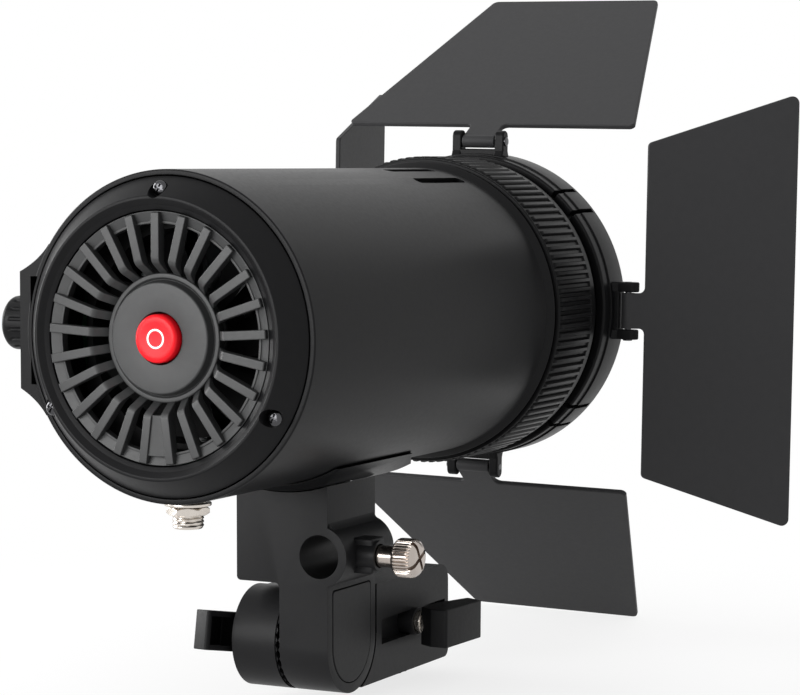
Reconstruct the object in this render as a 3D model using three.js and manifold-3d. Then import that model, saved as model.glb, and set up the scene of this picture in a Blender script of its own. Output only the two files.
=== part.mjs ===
// Video light with a round barrel, a focusing lens and four barn-door leaves on a tilting stand bracket.
// Millimetres, +Z up. The light shines along +Y. The origin is the mouth of the stand socket, on its axis.

import * as THREE from 'three';
import { mergeVertices } from 'three/addons/utils/BufferGeometryUtils.js';
import Module from 'manifold-3d';

const wasm = await Module();
wasm.setup();

// Clearances that every seat shares, and how far a cut runs past the face that it opens.
const seatGap = 0.3;
const overrun = 1;

// Facet counts.
const largeSides = 42;
const middleSides = 24;
const smallSides = 14;
const tinySides = 8;
const hexSides = 6;
const arcSteps = 4;
const cornerSteps = 3;

// Stand receptacle, measured from its socket's mouth.
const socketRadius = 8.05;
const blockHalfWidth = 14.65;
const blockRear = 24;
const blockFront = 23.8;
const blockHeight = 28.7;
const socketRoof = 3;
const blockCornerRadius = 5;
const blockFootChamfer = 2;
const pocketRearInset = 3.2;
const pocketFrontInset = 2.4;
const pocketHeight = 7.4;
const pocketDepth = 3.4;
const collarRadius = 11.4;
const collarProud = 1.2;
const collarSink = 1.6;
const collarNotchCount = 8;
const collarNotchWidth = 3;

// Tilt joint: its axis runs along X.
const tiltBehindSocket = 39.6;
const tiltHeight = 14.2;
const tiltRadius = 14.65;
const cheekOuterX = -16.4;
const cheekInnerX = -2.45;
const earInnerX = -0.8;
const rosetteTeeth = 32;
const rosetteToothHeight = 0.65;
const rosetteToothWidth = 1.15;
const rosetteInnerRadius = 7;
const rosetteOuterRadius = 14.2;
const tiltRelief = 0.75;
const boltRadius = 3;
const nutRadius = 5.8;
const nutThickness = 4;

// Levers: both are the same casting. Its arm narrows to the tip, and its inner side is hollow.
const leverThickness = 9.8;
const leverHeight = 11.3;
const leverTail = 5.6;
const leverOuterReach = 18.6;
const leverInnerReach = 22.1;
const leverTipInset = 3.7;
const leverTaperStart = 8;
const leverBevelDepth = 4.6;
const leverBevelLength = 3;
const leverEdgeRadius = 0.9;
const leverHollowStart = 6.5;
const leverHollowWall = 1.6;
const leverHoleDepth = 5;
const clampLeverX = 18.5;
const clampLeverDrop = 2.1;
const clampFlangeRadius = 3.3;
const clampFlangeThickness = 1.3;
const clampSleeveRadius = 4.1;
const clampShoeLength = 1.5;
const clampShoeSetback = 0.25;
const tiltLeverRaise = 10.4;

// Barrel, measured from its rear rim along the light axis.
const barrelRadius = 44;
const barrelWall = 1.5;
const barrelBore = barrelRadius - barrelWall;
const barrelLength = 146.4;
const flangeRise = 2.4;
const flangeLength = 2;
const rimChamfer = 0.5;
const ventLength = 31;
const ventFrontInset = 4.4;
const ventRear = barrelLength - ventFrontInset - ventLength;
const ventWidth = 3.6;
const ventCornerRadius = 1.6;
const wallCutDepth = 4 * barrelWall;
const ventAngles = [66.5, 80, 100, 113.5];

// Place of the head: the barrel's rear rim behind the tilt axis, and the light axis above it.
const rimBehindTilt = 75.4;
const barrelAboveTilt = 47;
const lightAxisAboveTilt = barrelRadius + barrelAboveTilt;

// Flat side of the barrel for the controls.
const sideFlatRise = 1.4;
const sideFlatX = -barrelRadius - sideFlatRise;
const sideFlatTop = 16.5;
const sideFlatBottom = -15;
const sideFlankTopAngle = 147;
const sideFlankBottomAngle = 210;
const sideFlankRise = 0.6;
const sideFlatLength = 100;
const sideFlatSlope = 5;
const sideNoseMargin = 9;
const sidePocketDepth = 3;
const sidePocketWall = 3.4;
const sidePocketInset = 1.2;
const plateRear = 30;
const plateFront = 92;
const plateInset = 3.2;
const plateThickness = 1;
const windowRear = 36;
const windowLength = 24;
const windowHalfHeight = 8;
const windowInset = 0.25;
const modeButtonY = 76;
const modeButtonRadius = 4;
const modeButtonProud = 1.1;
const modeButtonLength = 2;
const knobY = 15;
const knobZ = 1.7;
const knobRadius = 7.4;
const knobLength = 12.5;
const knobFlutes = 16;
const knobFluteWidth = 1;
const knobFluteDepth = 0.45;
const knobFluteEnd = 2.6;
const knobCrown = 1.4;
const knobStubRadius = 3;
const knobStubLength = 2;

// Rear bezel and the cooling grille that it carries.
const bezelInset = 7.3;
const bezelNoseRadius = barrelRadius - bezelInset;
const bezelNoseY = -6.7;
const bezelDishY = -4.9;
const bezelDishRun = 1.3;
const bezelDishDrop = 0.55;
const bezelSpigotWall = 2.6;
const bezelSpigotLength = 8;
const bezelScrewRadius = 2.1;
const bezelScrewHeadDepth = 1.4;
const bezelScrewLength = 5;
const bezelScrewInset = 5;
const bezelScrewPitchRadius = barrelRadius - bezelScrewInset;
const bezelScrewAngles = [90, -30, -150];
const crossArmLength = 1.5;
const crossArmHalfWidth = 0.32;
const grilleRingInset = 3.5;
const grilleRingOuterRadius = bezelNoseRadius - grilleRingInset;
const grilleRingWidth = 3.3;
const grilleRingInnerRadius = grilleRingOuterRadius - grilleRingWidth;
const grilleRingRearY = -4.8;
const grilleRingFrontY = -1.4;
const grilleLipWidth = 0.7;
const grilleLipY = -4.2;
const grilleSlopeY = -3.9;
const ribCount = 25;
const ribWidth = 2.4;
const ribRearY = -6;
const ribDepth = 3;
const ribOuterRadius = grilleRingOuterRadius - seatGap;
const ribBendRadius = 20;
const ribRootY = -1.2;
const hubRadius = 17;
const hubRimY = -2;
const hubDiscRadius = 14.6;
const hubStepRadius = 15.2;
const hubStepY = -1.4;
const hubDiscY = -4;
const hubDiscThickness = 1.2;
const hubDepth = 5;
const wedgeStep = 0.5;

// Power button in the hub, with the switch body behind the hub's disc.
const switchRadius = 8.2;
const switchLipY = hubDiscY + hubDiscThickness + seatGap;
const switchLength = 10;
const switchWall = 1.3;
const switchFloor = 2;
const buttonRadius = 6.6;
const buttonRearY = -6;
const buttonTravel = 1.2;
const buttonCrown = 0.5;

// Fan behind the grille: its round corners reach nearly to the barrel's bore.
const fanCornerRadius = 4;
const fanCornerGap = 1.73;
const fanHalfWidth = (barrelBore - fanCornerGap - fanCornerRadius) / Math.SQRT2 + fanCornerRadius;
const fanRearY = 8.3;
const fanDepth = 15;
const fanBoreWall = 1.4;
const fanBoreRadius = fanHalfWidth - fanBoreWall;
const fanStrutWidth = 3;
const fanStrutDepth = 1.6;
const fanMotorRadius = 11;
const fanMotorDepth = 3;
const fanPostRadius = 2;
const rotorHubRadius = 12.5;
const rotorTipGap = 1;
const rotorBladeRadius = fanBoreRadius - rotorTipGap;
const rotorRearY = 9.6;
const rotorHubLength = 9.2;
const rotorHubWall = 1.6;
const rotorBladeChord = 9.8;
const rotorBladeThickness = 1.3;
const rotorBlades = 7;
const rotorBladePitch = 38;

// Driver board, heat sink and emitter, in a stack in front of the fan.
const boardThickness = 1.6;
const driverWidth = 11;
const driverInnerRadius = barrelBore - driverWidth;
const capacitorRadius = 3;
const capacitorLength = 3.4;
const capacitorAngles = [20, 62, 160, 205];
const sinkFinLength = 38;
const sinkBaseThickness = 6;
const sinkCoreRadius = 9;
const sinkFinGap = 3.5;
const sinkFinRadius = barrelBore - sinkFinGap;
const sinkFins = 16;
const sinkFinThickness = 1.6;
const starRadius = 15;
const emitterRadius = 7;
const emitterThickness = 1.4;
const reflectorThroatRadius = 9;
const reflectorRimWidth = 4.5;
const reflectorMouthRadius = barrelBore - reflectorRimWidth;
const reflectorDepth = 26;
const reflectorWall = 1.2;
const reflectorFlange = 1.6;

// Fixed front tube, sliding lens cell and the two rings that turn on the tube.
const tubeRise = 1;
const tubeRadius = barrelRadius + tubeRise;
const tubeWall = 3;
const tubeBore = tubeRadius - tubeWall;
const tubeStartY = barrelLength + flangeLength + seatGap;
const tubeSpigotLength = 9;
const tubeSlotInset = 3.7;
const tubeSlotRear = tubeStartY + tubeSlotInset;
const tubeSlotLength = 23.2;
const keyCount = 3;
const keyWidth = 3.6;
const keyLength = 4;
const lensCellLength = 12;
const lensRearY = tubeSlotRear + (tubeSlotLength - lensCellLength) / 2;
const lensCellWall = 3;
const lensLipWidth = 1.6;
const lensLipDepth = 1.6;
const lensEdgeThickness = 4;
const lensCrown = 8;
const focusGap = 0.4;
const focusLength = 28.4;
const focusRearY = tubeStartY + focusGap;
const focusFrontY = focusRearY + focusLength;
const focusRimRise = 2;
const focusRimRadius = tubeRadius + focusRimRise;
const focusKnurlRise = 0.6;
const focusKnurlRadius = focusRimRadius + focusKnurlRise;
const focusRearRim = 2.4;
const focusFrontRim = 3.5;
const focusGrooves = 110;
const focusGrooveDepth = 0.55;
const ringGap = 4.5;
const ringLength = 16;
const ringRearY = focusFrontY + ringGap;
const ringFrontY = ringRearY + ringLength;
const ringFrontWall = 1.4;
const tubeEndY = ringFrontY - ringFrontWall;
const ringRise = 3.6;
const ringRadius = tubeRadius + ringRise;
const ringRearStep = 0.5;
const ringStepLength = 4.5;
const ringLipWidth = 3.4;
const ringChamfer = 0.6;
const ringRoll = 1;
const snapSlotAngle = 5.2;
const snapSlotWidth = 1.1;
const snapSlotEnd = 2;
const leafCount = 4;

// Leaf hinges on the ring, and the leaves.
const hingeRise = 3.9;
const hingeInset = 7.3;
const hingeRadius = ringRadius + hingeRise;
const hingeY = ringFrontY - hingeInset;
const earOuterHalf = 9.05;
const earInnerHalf = 5.9;
const earWidth = 3.9;
const earRise = 3.5;
const pinRadius = 1;
const pinHeadRadius = 1.5;
const pinHeadLength = 0.6;
const knuckleRadius = 2.1;
const leafThickness = 1.6;
const leafOffset = 1.2;
const leafCornerRadius = 3.5;
const sideLeafRoot = 5;
const sideLeafTip = 53;
const sideLeafRootHalf = 52.7;
const sideLeafTipHalf = 69;
const endLeafRoot = 7.6;
const endLeafTip = 90;
const endLeafRootHalf = 51;
const endLeafTipHalf = 30.5;
const leafOpenings = { top: 31.7, right: 57, bottom: 38.5, left: 9 };

// Saddle under the barrel, measured from the bracket that stands on it.
const bracketRear = rimBehindTilt - tiltRadius;
const bracketFront = rimBehindTilt + tiltRadius;
const footRise = 2.9;
const footRadius = barrelRadius + footRise;
const footRearRun = 8.25;
const footNoseStart = 7;
const footFadeStart = 11.7;
const footFrontRun = 31;
const footNoseHalfWidth = 10;
const footHalfAngle = 30;
const footEdge = 0.5;

// Bracket under the saddle, with the umbrella boss and its thumb screw.
const bracketAboveTilt = 17.9;
const bracketBottomZ = bracketAboveTilt - lightAxisAboveTilt;
const umbrellaX = 11.94;
const umbrellaAboveTilt = 26.08;
const umbrellaZ = umbrellaAboveTilt - lightAxisAboveTilt;
const umbrellaBossRadius = 8.75;
const umbrellaBoreRadius = 6.2;
const umbrellaPadX = 23;
const umbrellaPadHalfWidth = 4.5;
const umbrellaPadHalfHeight = 5;
const umbrellaCollarLength = 1.4;
const umbrellaScrewInset = 10.15;
const umbrellaScrewY = bracketRear + umbrellaScrewInset;
const bossFilletRise = 9.6;
const bossFilletReach = 6.1;
const coverRadius = 11.5;
const coverAboveTilt = 16;
const coverTopZ = coverAboveTilt - lightAxisAboveTilt;
const coverDepth = 1.4;
const coverProud = 0.2;
const thumbNeckRadius = 3.15;
const thumbHeadRadius = 5.55;
const thumbHeadX = 31.4;
const thumbHeadLength = 7.2;
const thumbKnurls = 28;
const thumbKnurlDepth = 0.3;
const thumbPadLength = 1.6;
const thumbSlotWidth = 1.2;
const thumbSlotDepth = 0.8;

// Power inlet under the barrel's rear end.
const jackY = 10;
const jackThreadRadius = 4.4;
const jackInnerLength = 4.5;
const jackTopZ = jackInnerLength - barrelBore;
const jackOuterLength = 7.3;
const jackBottomZ = -barrelRadius - jackOuterLength;
const jackBoreRadius = 2.8;
const jackBoreDepth = 9;
const jackPinRadius = 1;
const jackPinSetback = 1;
const jackRoom = 5.9;
const washerRadius = 6.3;
const washerThickness = 0.9;
const jackNutCornerRadius = 5.8;
const jackNutThickness = 2.2;

// Sizes that follow from the ones above.
const headRearY = -tiltBehindSocket - rimBehindTilt;
const lightAxisZ = tiltHeight + lightAxisAboveTilt;
const fanFrontY = fanRearY + fanDepth;
const driverY = fanFrontY + seatGap;
const sinkRearY = driverY + boardThickness + seatGap;
const sinkBaseY = sinkRearY + sinkFinLength;
const starY = sinkBaseY + sinkBaseThickness + seatGap;
const emitterY = starY + boardThickness + seatGap;
const ringBore = tubeRadius + seatGap;
const washerTopZ = -barrelRadius - seatGap;
const jackNutTopZ = washerTopZ - washerThickness - seatGap;

// Colours and finishes from the object.
const finishes = {
  housing: { color: 0x2e2e30, roughness: 0.55, metalness: 0.1 },
  ribs: { color: 0x4a4a4c, roughness: 0.6, metalness: 0.1 },
  ring: { color: 0x242426, roughness: 0.5, metalness: 0 },
  leaf: { color: 0x2a2b2c, roughness: 0.7, metalness: 0.4 },
  red: { color: 0xe3141e, roughness: 0.35, metalness: 0 },
  nickel: { color: 0xc8c4bd, roughness: 0.25, metalness: 1 },
  steel: { color: 0x8d8d8f, roughness: 0.35, metalness: 1 },
  aluminium: { color: 0xb4b6b8, roughness: 0.4, metalness: 1 },
  brass: { color: 0xb08d4a, roughness: 0.35, metalness: 1 },
  board: { color: 0x1d5a3a, roughness: 0.5, metalness: 0 },
  glass: { color: 0xdfe6ea, roughness: 0.05, metalness: 0 },
  phosphor: { color: 0xe6c43a, roughness: 0.6, metalness: 0 },
  mirror: { color: 0xd9dadb, roughness: 0.15, metalness: 1 },
};

const radians = THREE.MathUtils.degToRad;

// The point at a radius and an angle in degrees, counted from the first coordinate towards the second.
function polar(radius, degrees) {
  return [radius * Math.cos(radians(degrees)), radius * Math.sin(radians(degrees))];
}

// A closed solid from any three.js geometry: shared corners are merged and slivers at poles are dropped.
function solidOf(geometry) {
  const bare = geometry.clone();
  bare.deleteAttribute('normal');
  bare.deleteAttribute('uv');
  const merged = mergeVertices(bare);
  const corners = merged.index.array;
  const kept = [];
  for (let i = 0; i < corners.length; i += 3) {
    const [a, b, c] = [corners[i], corners[i + 1], corners[i + 2]];
    if (a !== b && b !== c && c !== a) kept.push(a, b, c);
  }
  return new wasm.Manifold(new wasm.Mesh({
    numProp: 3,
    vertProperties: new Float32Array(merged.attributes.position.array),
    triVerts: new Uint32Array(kept),
  }));
}

function geometryOf(solid) {
  const mesh = solid.getMesh();
  const geometry = new THREE.BufferGeometry();
  const positions = new Float32Array(mesh.numVert * 3);
  for (let i = 0; i < mesh.numVert; i += 1) {
    positions.set(mesh.vertProperties.subarray(i * mesh.numProp, i * mesh.numProp + 3), i * 3);
  }
  geometry.setAttribute('position', new THREE.BufferAttribute(positions, 3));
  geometry.setIndex(new THREE.BufferAttribute(new Uint32Array(mesh.triVerts), 1));
  geometry.computeVertexNormals();
  return geometry;
}

const join = (...solids) => solids.reduce((sum, solid) => sum.add(solid));
const cut = (solid, ...tools) => tools.reduce((rest, tool) => rest.subtract(tool), solid);

// A revolved solid about the light axis. The outline is a closed loop of [radius, y] points.
function revolve(outline, sides) {
  const points = outline.map(([radius, y]) => new THREE.Vector2(radius, y));
  if (THREE.ShapeUtils.area(points) < 0) points.reverse();
  points.push(points[0].clone());
  return solidOf(new THREE.LatheGeometry(points, sides));
}

// A plain ring about the light axis, or a disc where its inner radius is 0.
function band(inner, outer, from, to, sides) {
  return revolve([[inner, from], [outer, from], [outer, to], [inner, to]], sides);
}

// Turns a shape made in the XY plane and pushed along Z so that it is pushed along the named axis instead.
// Its two coordinates are then y and z for an x prism, and x and z for a y prism.
function prism(axis, shape, from, to, curveSegments = arcSteps) {
  const pushed = { depth: to - from, bevelEnabled: false, curveSegments };
  const geometry = new THREE.ExtrudeGeometry(shape, pushed);
  const place = new THREE.Matrix4();
  const [ex, ey, ez] = [new THREE.Vector3(1, 0, 0), new THREE.Vector3(0, 1, 0), new THREE.Vector3(0, 0, 1)];
  if (axis === 'x') place.makeBasis(ey, ez, ex).setPosition(from, 0, 0);
  if (axis === 'y') place.makeBasis(ex, ez, ey.clone().negate()).setPosition(0, to, 0);
  if (axis === 'z') place.setPosition(0, 0, from);
  return solidOf(geometry.applyMatrix4(place));
}

function box(low, high) {
  const geometry = new THREE.BoxGeometry(high[0] - low[0], high[1] - low[1], high[2] - low[2]);
  return solidOf(geometry.translate((low[0] + high[0]) / 2, (low[1] + high[1]) / 2, (low[2] + high[2]) / 2));
}

// A round bar along the named axis. Centre holds its place in the other two coordinates, in order.
function rod(axis, radius, from, to, centre = [0, 0], sides = smallSides) {
  const geometry = new THREE.CylinderGeometry(radius, radius, to - from, sides);
  const middle = (from + to) / 2;
  if (axis === 'x') geometry.rotateZ(-Math.PI / 2).translate(middle, centre[0], centre[1]);
  if (axis === 'y') geometry.translate(centre[0], middle, centre[1]);
  if (axis === 'z') geometry.rotateX(Math.PI / 2).translate(centre[0], centre[1], middle);
  return solidOf(geometry);
}

function tube(axis, inner, outer, from, to, centre = [0, 0], sides = smallSides) {
  const bore = rod(axis, inner, from - overrun, to + overrun, centre, sides);
  return cut(rod(axis, outer, from, to, centre, sides), bore);
}

// An outline through the corners, each rounded by its own radius where it gives one.
function outlineOf(corners, defaultRadius = 0) {
  const shape = new THREE.Shape();
  corners.forEach((corner, i) => {
    const here = new THREE.Vector2(corner[0], corner[1]);
    const radius = corner[2] ?? defaultRadius;
    const before = corners[(i + corners.length - 1) % corners.length];
    const after = corners[(i + 1) % corners.length];
    const start = here.clone().add(new THREE.Vector2(before[0], before[1]).sub(here).setLength(radius));
    const end = here.clone().add(new THREE.Vector2(after[0], after[1]).sub(here).setLength(radius));
    if (i === 0) shape.moveTo(start.x, start.y);
    else shape.lineTo(start.x, start.y);
    if (radius > 0) shape.quadraticCurveTo(here.x, here.y, end.x, end.y);
  });
  return shape;
}

// Copies of a solid, turned about the light axis to each angle from +X towards +Z.
function turnedSolid(geometry, degrees) {
  return solidOf(geometry.clone().rotateY(-radians(degrees)));
}

function addMesh(group, name, solid, finish) {
  const mesh = new THREE.Mesh(geometryOf(solid), new THREE.MeshStandardMaterial(finishes[finish]));
  mesh.name = name;
  group.add(mesh);
  return mesh;
}

// Radial ridges on a flat face square to X, standing from the face towards the given side.
function rosette(faceX, side, centre) {
  const tipX = faceX + side * rosetteToothHeight;
  const rootX = faceX - side * seatGap;
  const ridges = [];
  for (let i = 0; i < rosetteTeeth; i += 1) {
    const section = new THREE.Shape();
    section.moveTo(rootX, -rosetteToothWidth / 2);
    section.lineTo(rootX, rosetteToothWidth / 2);
    section.lineTo(tipX, 0);
    const length = rosetteOuterRadius - rosetteInnerRadius;
    const ridge = new THREE.ExtrudeGeometry(section, { depth: length, bevelEnabled: false });
    ridge.translate(0, 0, rosetteInnerRadius).rotateX((i * 2 * Math.PI) / rosetteTeeth);
    ridge.translate(0, centre[0], centre[1]);
    ridges.push(solidOf(ridge));
  }
  return join(...ridges);
}

// Stand receptacle: socket block, round cheek and the web that joins them in front of the ear.
function standBlock() {
  const tiltCentre = [-tiltBehindSocket, tiltHeight];
  const blockShape = outlineOf([
    [-blockRear, 0],
    [blockFront, 0, blockFootChamfer],
    [blockFront, blockHeight, blockCornerRadius],
    [-blockRear, blockHeight],
  ]);
  const block = prism('x', blockShape, -blockHalfWidth, blockHalfWidth);
  const webFront = seatGap - blockRear;
  const web = box([-blockHalfWidth, -tiltBehindSocket, 0], [blockHalfWidth, webFront, tiltHeight]);
  const arm = box([cheekOuterX, -tiltBehindSocket, 0], [cheekInnerX, -blockRear, blockHeight - tiltRelief]);
  const cheekRound = rod('x', tiltRadius, cheekOuterX, cheekInnerX, tiltCentre, middleSides);
  const outside = blockHalfWidth + overrun;
  const earRoom = rod('x', tiltRadius + tiltRelief, cheekInnerX, outside, tiltCentre, middleSides);
  const socket = rod('z', socketRadius, -overrun, blockHeight - socketRoof, [0, 0], middleSides);
  const collarSeat = rod('z', collarRadius + seatGap, -overrun, collarSink + seatGap, [0, 0], middleSides);
  const pocket = box(
    [blockHalfWidth - pocketDepth, -blockRear + pocketRearInset, tiltHeight - pocketHeight / 2],
    [outside, blockFront - pocketFrontInset, tiltHeight + pocketHeight / 2],
  );
  const sleeveEnd = clampLeverX - 2 * seatGap - clampFlangeThickness - seatGap;
  const sleeveStart = blockHalfWidth - pocketDepth - seatGap;
  const sleeve = rod('x', clampSleeveRadius, sleeveStart, sleeveEnd, [0, tiltHeight]);
  const screwHole = rod('x', boltRadius + seatGap, 0, clampLeverX, [0, tiltHeight]);
  const boltHole = rod('x', boltRadius + seatGap, cheekOuterX - overrun, cheekInnerX + overrun, tiltCentre);
  const body = cut(join(block, web, arm), earRoom);
  const full = join(body, cheekRound, rosette(cheekInnerX, 1, tiltCentre));
  return cut(join(cut(full, socket, collarSeat, pocket, boltHole), sleeve), screwHole);
}

// Castellated ring round the socket's mouth.
function socketCollar() {
  const ring = tube('z', socketRadius, collarRadius, -collarProud, collarSink, [0, 0], middleSides);
  const notches = [];
  for (let i = 0; i < collarNotchCount / 2; i += 1) {
    const reach = collarRadius + overrun;
    const bar = new THREE.BoxGeometry(2 * reach, collarNotchWidth, 2 * collarProud);
    bar.translate(0, 0, -collarProud).rotateZ((i * 2 * Math.PI) / collarNotchCount);
    notches.push(solidOf(bar));
  }
  return cut(ring, ...notches);
}

// Lever casting with its hub on the X axis and its arm along +Y. The hub's inner face is at x 0.
function leverBody() {
  const half = leverHeight / 2;
  const plan = outlineOf([
    [0, -leverTail + leverBevelLength],
    [leverBevelDepth, -leverTail],
    [leverThickness, -leverTail, leverEdgeRadius],
    [leverThickness, leverOuterReach, leverEdgeRadius],
    [leverTipInset, leverInnerReach, leverEdgeRadius],
    [0, leverTaperStart],
  ]);
  const floorX = leverThickness - leverHollowWall;
  const hollow = prism('z', outlineOf([
    [-overrun, leverHollowStart],
    [floorX, leverHollowStart],
    [floorX, leverOuterReach - leverHollowWall],
    [leverTipInset, leverInnerReach - leverHollowWall],
    [-overrun, leverInnerReach - leverHollowWall],
  ]), -half + leverHollowWall, half - leverHollowWall);
  const hole = rod('x', boltRadius + seatGap, -overrun, leverHoleDepth + seatGap);
  return cut(prism('z', plan, -half, half), hollow, hole);
}

function clampScrew() {
  const start = socketRadius + clampShoeSetback + clampShoeLength + seatGap;
  const shank = rod('x', boltRadius, start, clampLeverX + leverHoleDepth, [0, tiltHeight]);
  const flangeEnd = clampLeverX - seatGap;
  const flange = rod('x', clampFlangeRadius, flangeEnd - clampFlangeThickness, flangeEnd, [0, tiltHeight]);
  return join(shank, flange);
}

function clampShoe() {
  const start = socketRadius + clampShoeSetback;
  return rod('x', boltRadius, start, start + clampShoeLength, [0, tiltHeight]);
}

function tiltBolt() {
  const start = cheekOuterX - seatGap - leverHoleDepth;
  return rod('x', boltRadius, start, blockHalfWidth - coverDepth - seatGap, [-tiltBehindSocket, tiltHeight]);
}

// From here to the leaves all is in the head's frame: y from the barrel's rear rim, z from the light axis.
const tiltInHead = [rimBehindTilt, -lightAxisAboveTilt];

function tiltNut() {
  const end = blockHalfWidth - coverDepth - seatGap;
  const nut = rod('x', nutRadius, end - nutThickness, end, tiltInHead, hexSides);
  return cut(nut, rod('x', boltRadius + seatGap, end - nutThickness - overrun, end + overrun, tiltInHead));
}

// The cover plate's outline: a flat top and a round bottom about the tilt axis.
function coverShape(margin) {
  const radius = coverRadius + margin;
  const shape = new THREE.Shape();
  shape.moveTo(tiltInHead[0] - radius, coverTopZ + margin);
  shape.lineTo(tiltInHead[0] - radius, tiltInHead[1]);
  shape.absarc(tiltInHead[0], tiltInHead[1], radius, Math.PI, 2 * Math.PI, false);
  shape.lineTo(tiltInHead[0] + radius, coverTopZ + margin);
  return shape;
}

function earCover() {
  const outer = blockHalfWidth + coverProud;
  return prism('x', coverShape(0), blockHalfWidth - coverDepth + seatGap, outer, middleSides / 2);
}

// The saddle's outline in section: flanks that run down from its edges on the barrel to the bracket's width.
function footSection() {
  const edge = polar(barrelRadius + seatGap + footEdge, footHalfAngle - 90);
  const flankZ = -Math.sqrt(footRadius * footRadius - blockHalfWidth * blockHalfWidth);
  return outlineOf([
    [-edge[0], edge[1]],
    [edge[0], edge[1]],
    [blockHalfWidth, flankZ],
    [blockHalfWidth, -footRadius - overrun],
    [-blockHalfWidth, -footRadius - overrun],
    [-blockHalfWidth, flankZ],
  ]);
}

// Saddle: a shell round the barrel that rises behind the bracket and fades out to a narrow nose in front.
function footPad() {
  const inner = barrelRadius + seatGap;
  const rearY = bracketRear - footRearRun;
  const frontY = bracketFront + footFrontRun;
  const noseY = bracketFront + footNoseStart;
  const shell = revolve([
    [inner, rearY],
    [inner + footEdge, rearY],
    [footRadius, bracketRear],
    [footRadius, bracketFront + footFadeStart],
    [inner + footEdge, frontY],
    [inner, frontY],
  ], largeSides);
  const plan = outlineOf([
    [-barrelRadius, rearY - overrun],
    [barrelRadius, rearY - overrun],
    [barrelRadius, noseY],
    [blockHalfWidth + footRearRun, noseY],
    [footNoseHalfWidth, frontY + overrun],
    [-footNoseHalfWidth, frontY + overrun],
    [-blockHalfWidth - footRearRun, noseY],
    [-barrelRadius, noseY],
  ]);
  const section = prism('y', footSection(), rearY - overrun, frontY + overrun);
  return shell.intersect(section).intersect(prism('z', plan, -footRadius - overrun, 0));
}

// Bracket: block under the saddle, tilt ear and umbrella boss with the pad and collar for its thumb screw.
function headBracket() {
  const top = overrun * 3 - barrelRadius;
  const boreCentre = [umbrellaX, umbrellaZ];
  const screwCentre = [umbrellaScrewY, umbrellaZ];
  const earShape = new THREE.Shape();
  earShape.moveTo(tiltInHead[0] + tiltRadius, top);
  earShape.lineTo(tiltInHead[0] - tiltRadius, top);
  earShape.lineTo(tiltInHead[0] - tiltRadius, tiltInHead[1]);
  earShape.absarc(tiltInHead[0], tiltInHead[1], tiltRadius, Math.PI, 2 * Math.PI, false);
  const ear = prism('x', earShape, earInnerX, blockHalfWidth, middleSides / 2);
  const block = box([-blockHalfWidth, bracketRear, bracketBottomZ], [blockHalfWidth, bracketFront, top]);
  const boss = rod('y', umbrellaBossRadius, bracketRear, bracketFront, boreCentre, middleSides);
  const pad = box(
    [umbrellaX, umbrellaScrewY - umbrellaPadHalfWidth, umbrellaZ - umbrellaPadHalfHeight],
    [umbrellaPadX, umbrellaScrewY + umbrellaPadHalfWidth, umbrellaZ + umbrellaPadHalfHeight],
  );
  const collarEnd = umbrellaPadX + umbrellaCollarLength;
  const collar = rod('x', umbrellaPadHalfWidth, umbrellaPadX - seatGap, collarEnd, screwCentre);
  const fillet = new THREE.Shape();
  fillet.moveTo(blockHalfWidth - seatGap, umbrellaZ + bossFilletRise + overrun);
  fillet.quadraticCurveTo(
    blockHalfWidth, umbrellaZ + bossFilletRise - overrun,
    umbrellaX + bossFilletReach, umbrellaZ + bossFilletReach);
  fillet.lineTo(blockHalfWidth - seatGap, umbrellaZ);
  const web = prism('y', fillet, bracketRear, bracketFront);
  const [behind, inFront] = [bracketRear - overrun, bracketFront + overrun];
  const saddleRoom = band(0, footRadius + seatGap, behind, inFront, largeSides);
  const bore = rod('y', umbrellaBoreRadius, behind, inFront, boreCentre, middleSides);
  const screwWay = rod('x', thumbNeckRadius + seatGap, umbrellaX, collarEnd + overrun, screwCentre);
  const boltHole = rod('x', boltRadius + seatGap, earInnerX - overrun, blockHalfWidth + overrun, tiltInHead);
  const nutSeatX = blockHalfWidth - coverDepth - nutThickness - 2 * seatGap;
  const nutSeat = rod('x', nutRadius + seatGap, nutSeatX, blockHalfWidth, tiltInHead, hexSides);
  const coverX = blockHalfWidth - coverDepth;
  const coverSeat = prism('x', coverShape(seatGap), coverX, blockHalfWidth + overrun, middleSides / 2);
  const teeth = rosette(earInnerX, -1, tiltInHead);
  const body = cut(join(ear, block), saddleRoom);
  return cut(join(body, boss, pad, collar, web, teeth), bore, screwWay, boltHole, nutSeat, coverSeat);
}

// Middle of a hollow flank between the flat side's edge and the round wall, just outside the wall.
function flankPoint(foot, flatZ) {
  const middle = new THREE.Vector2((foot[0] + sideFlatX) / 2, (foot[1] + flatZ) / 2);
  return middle.setLength(barrelRadius + sideFlankRise);
}

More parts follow.
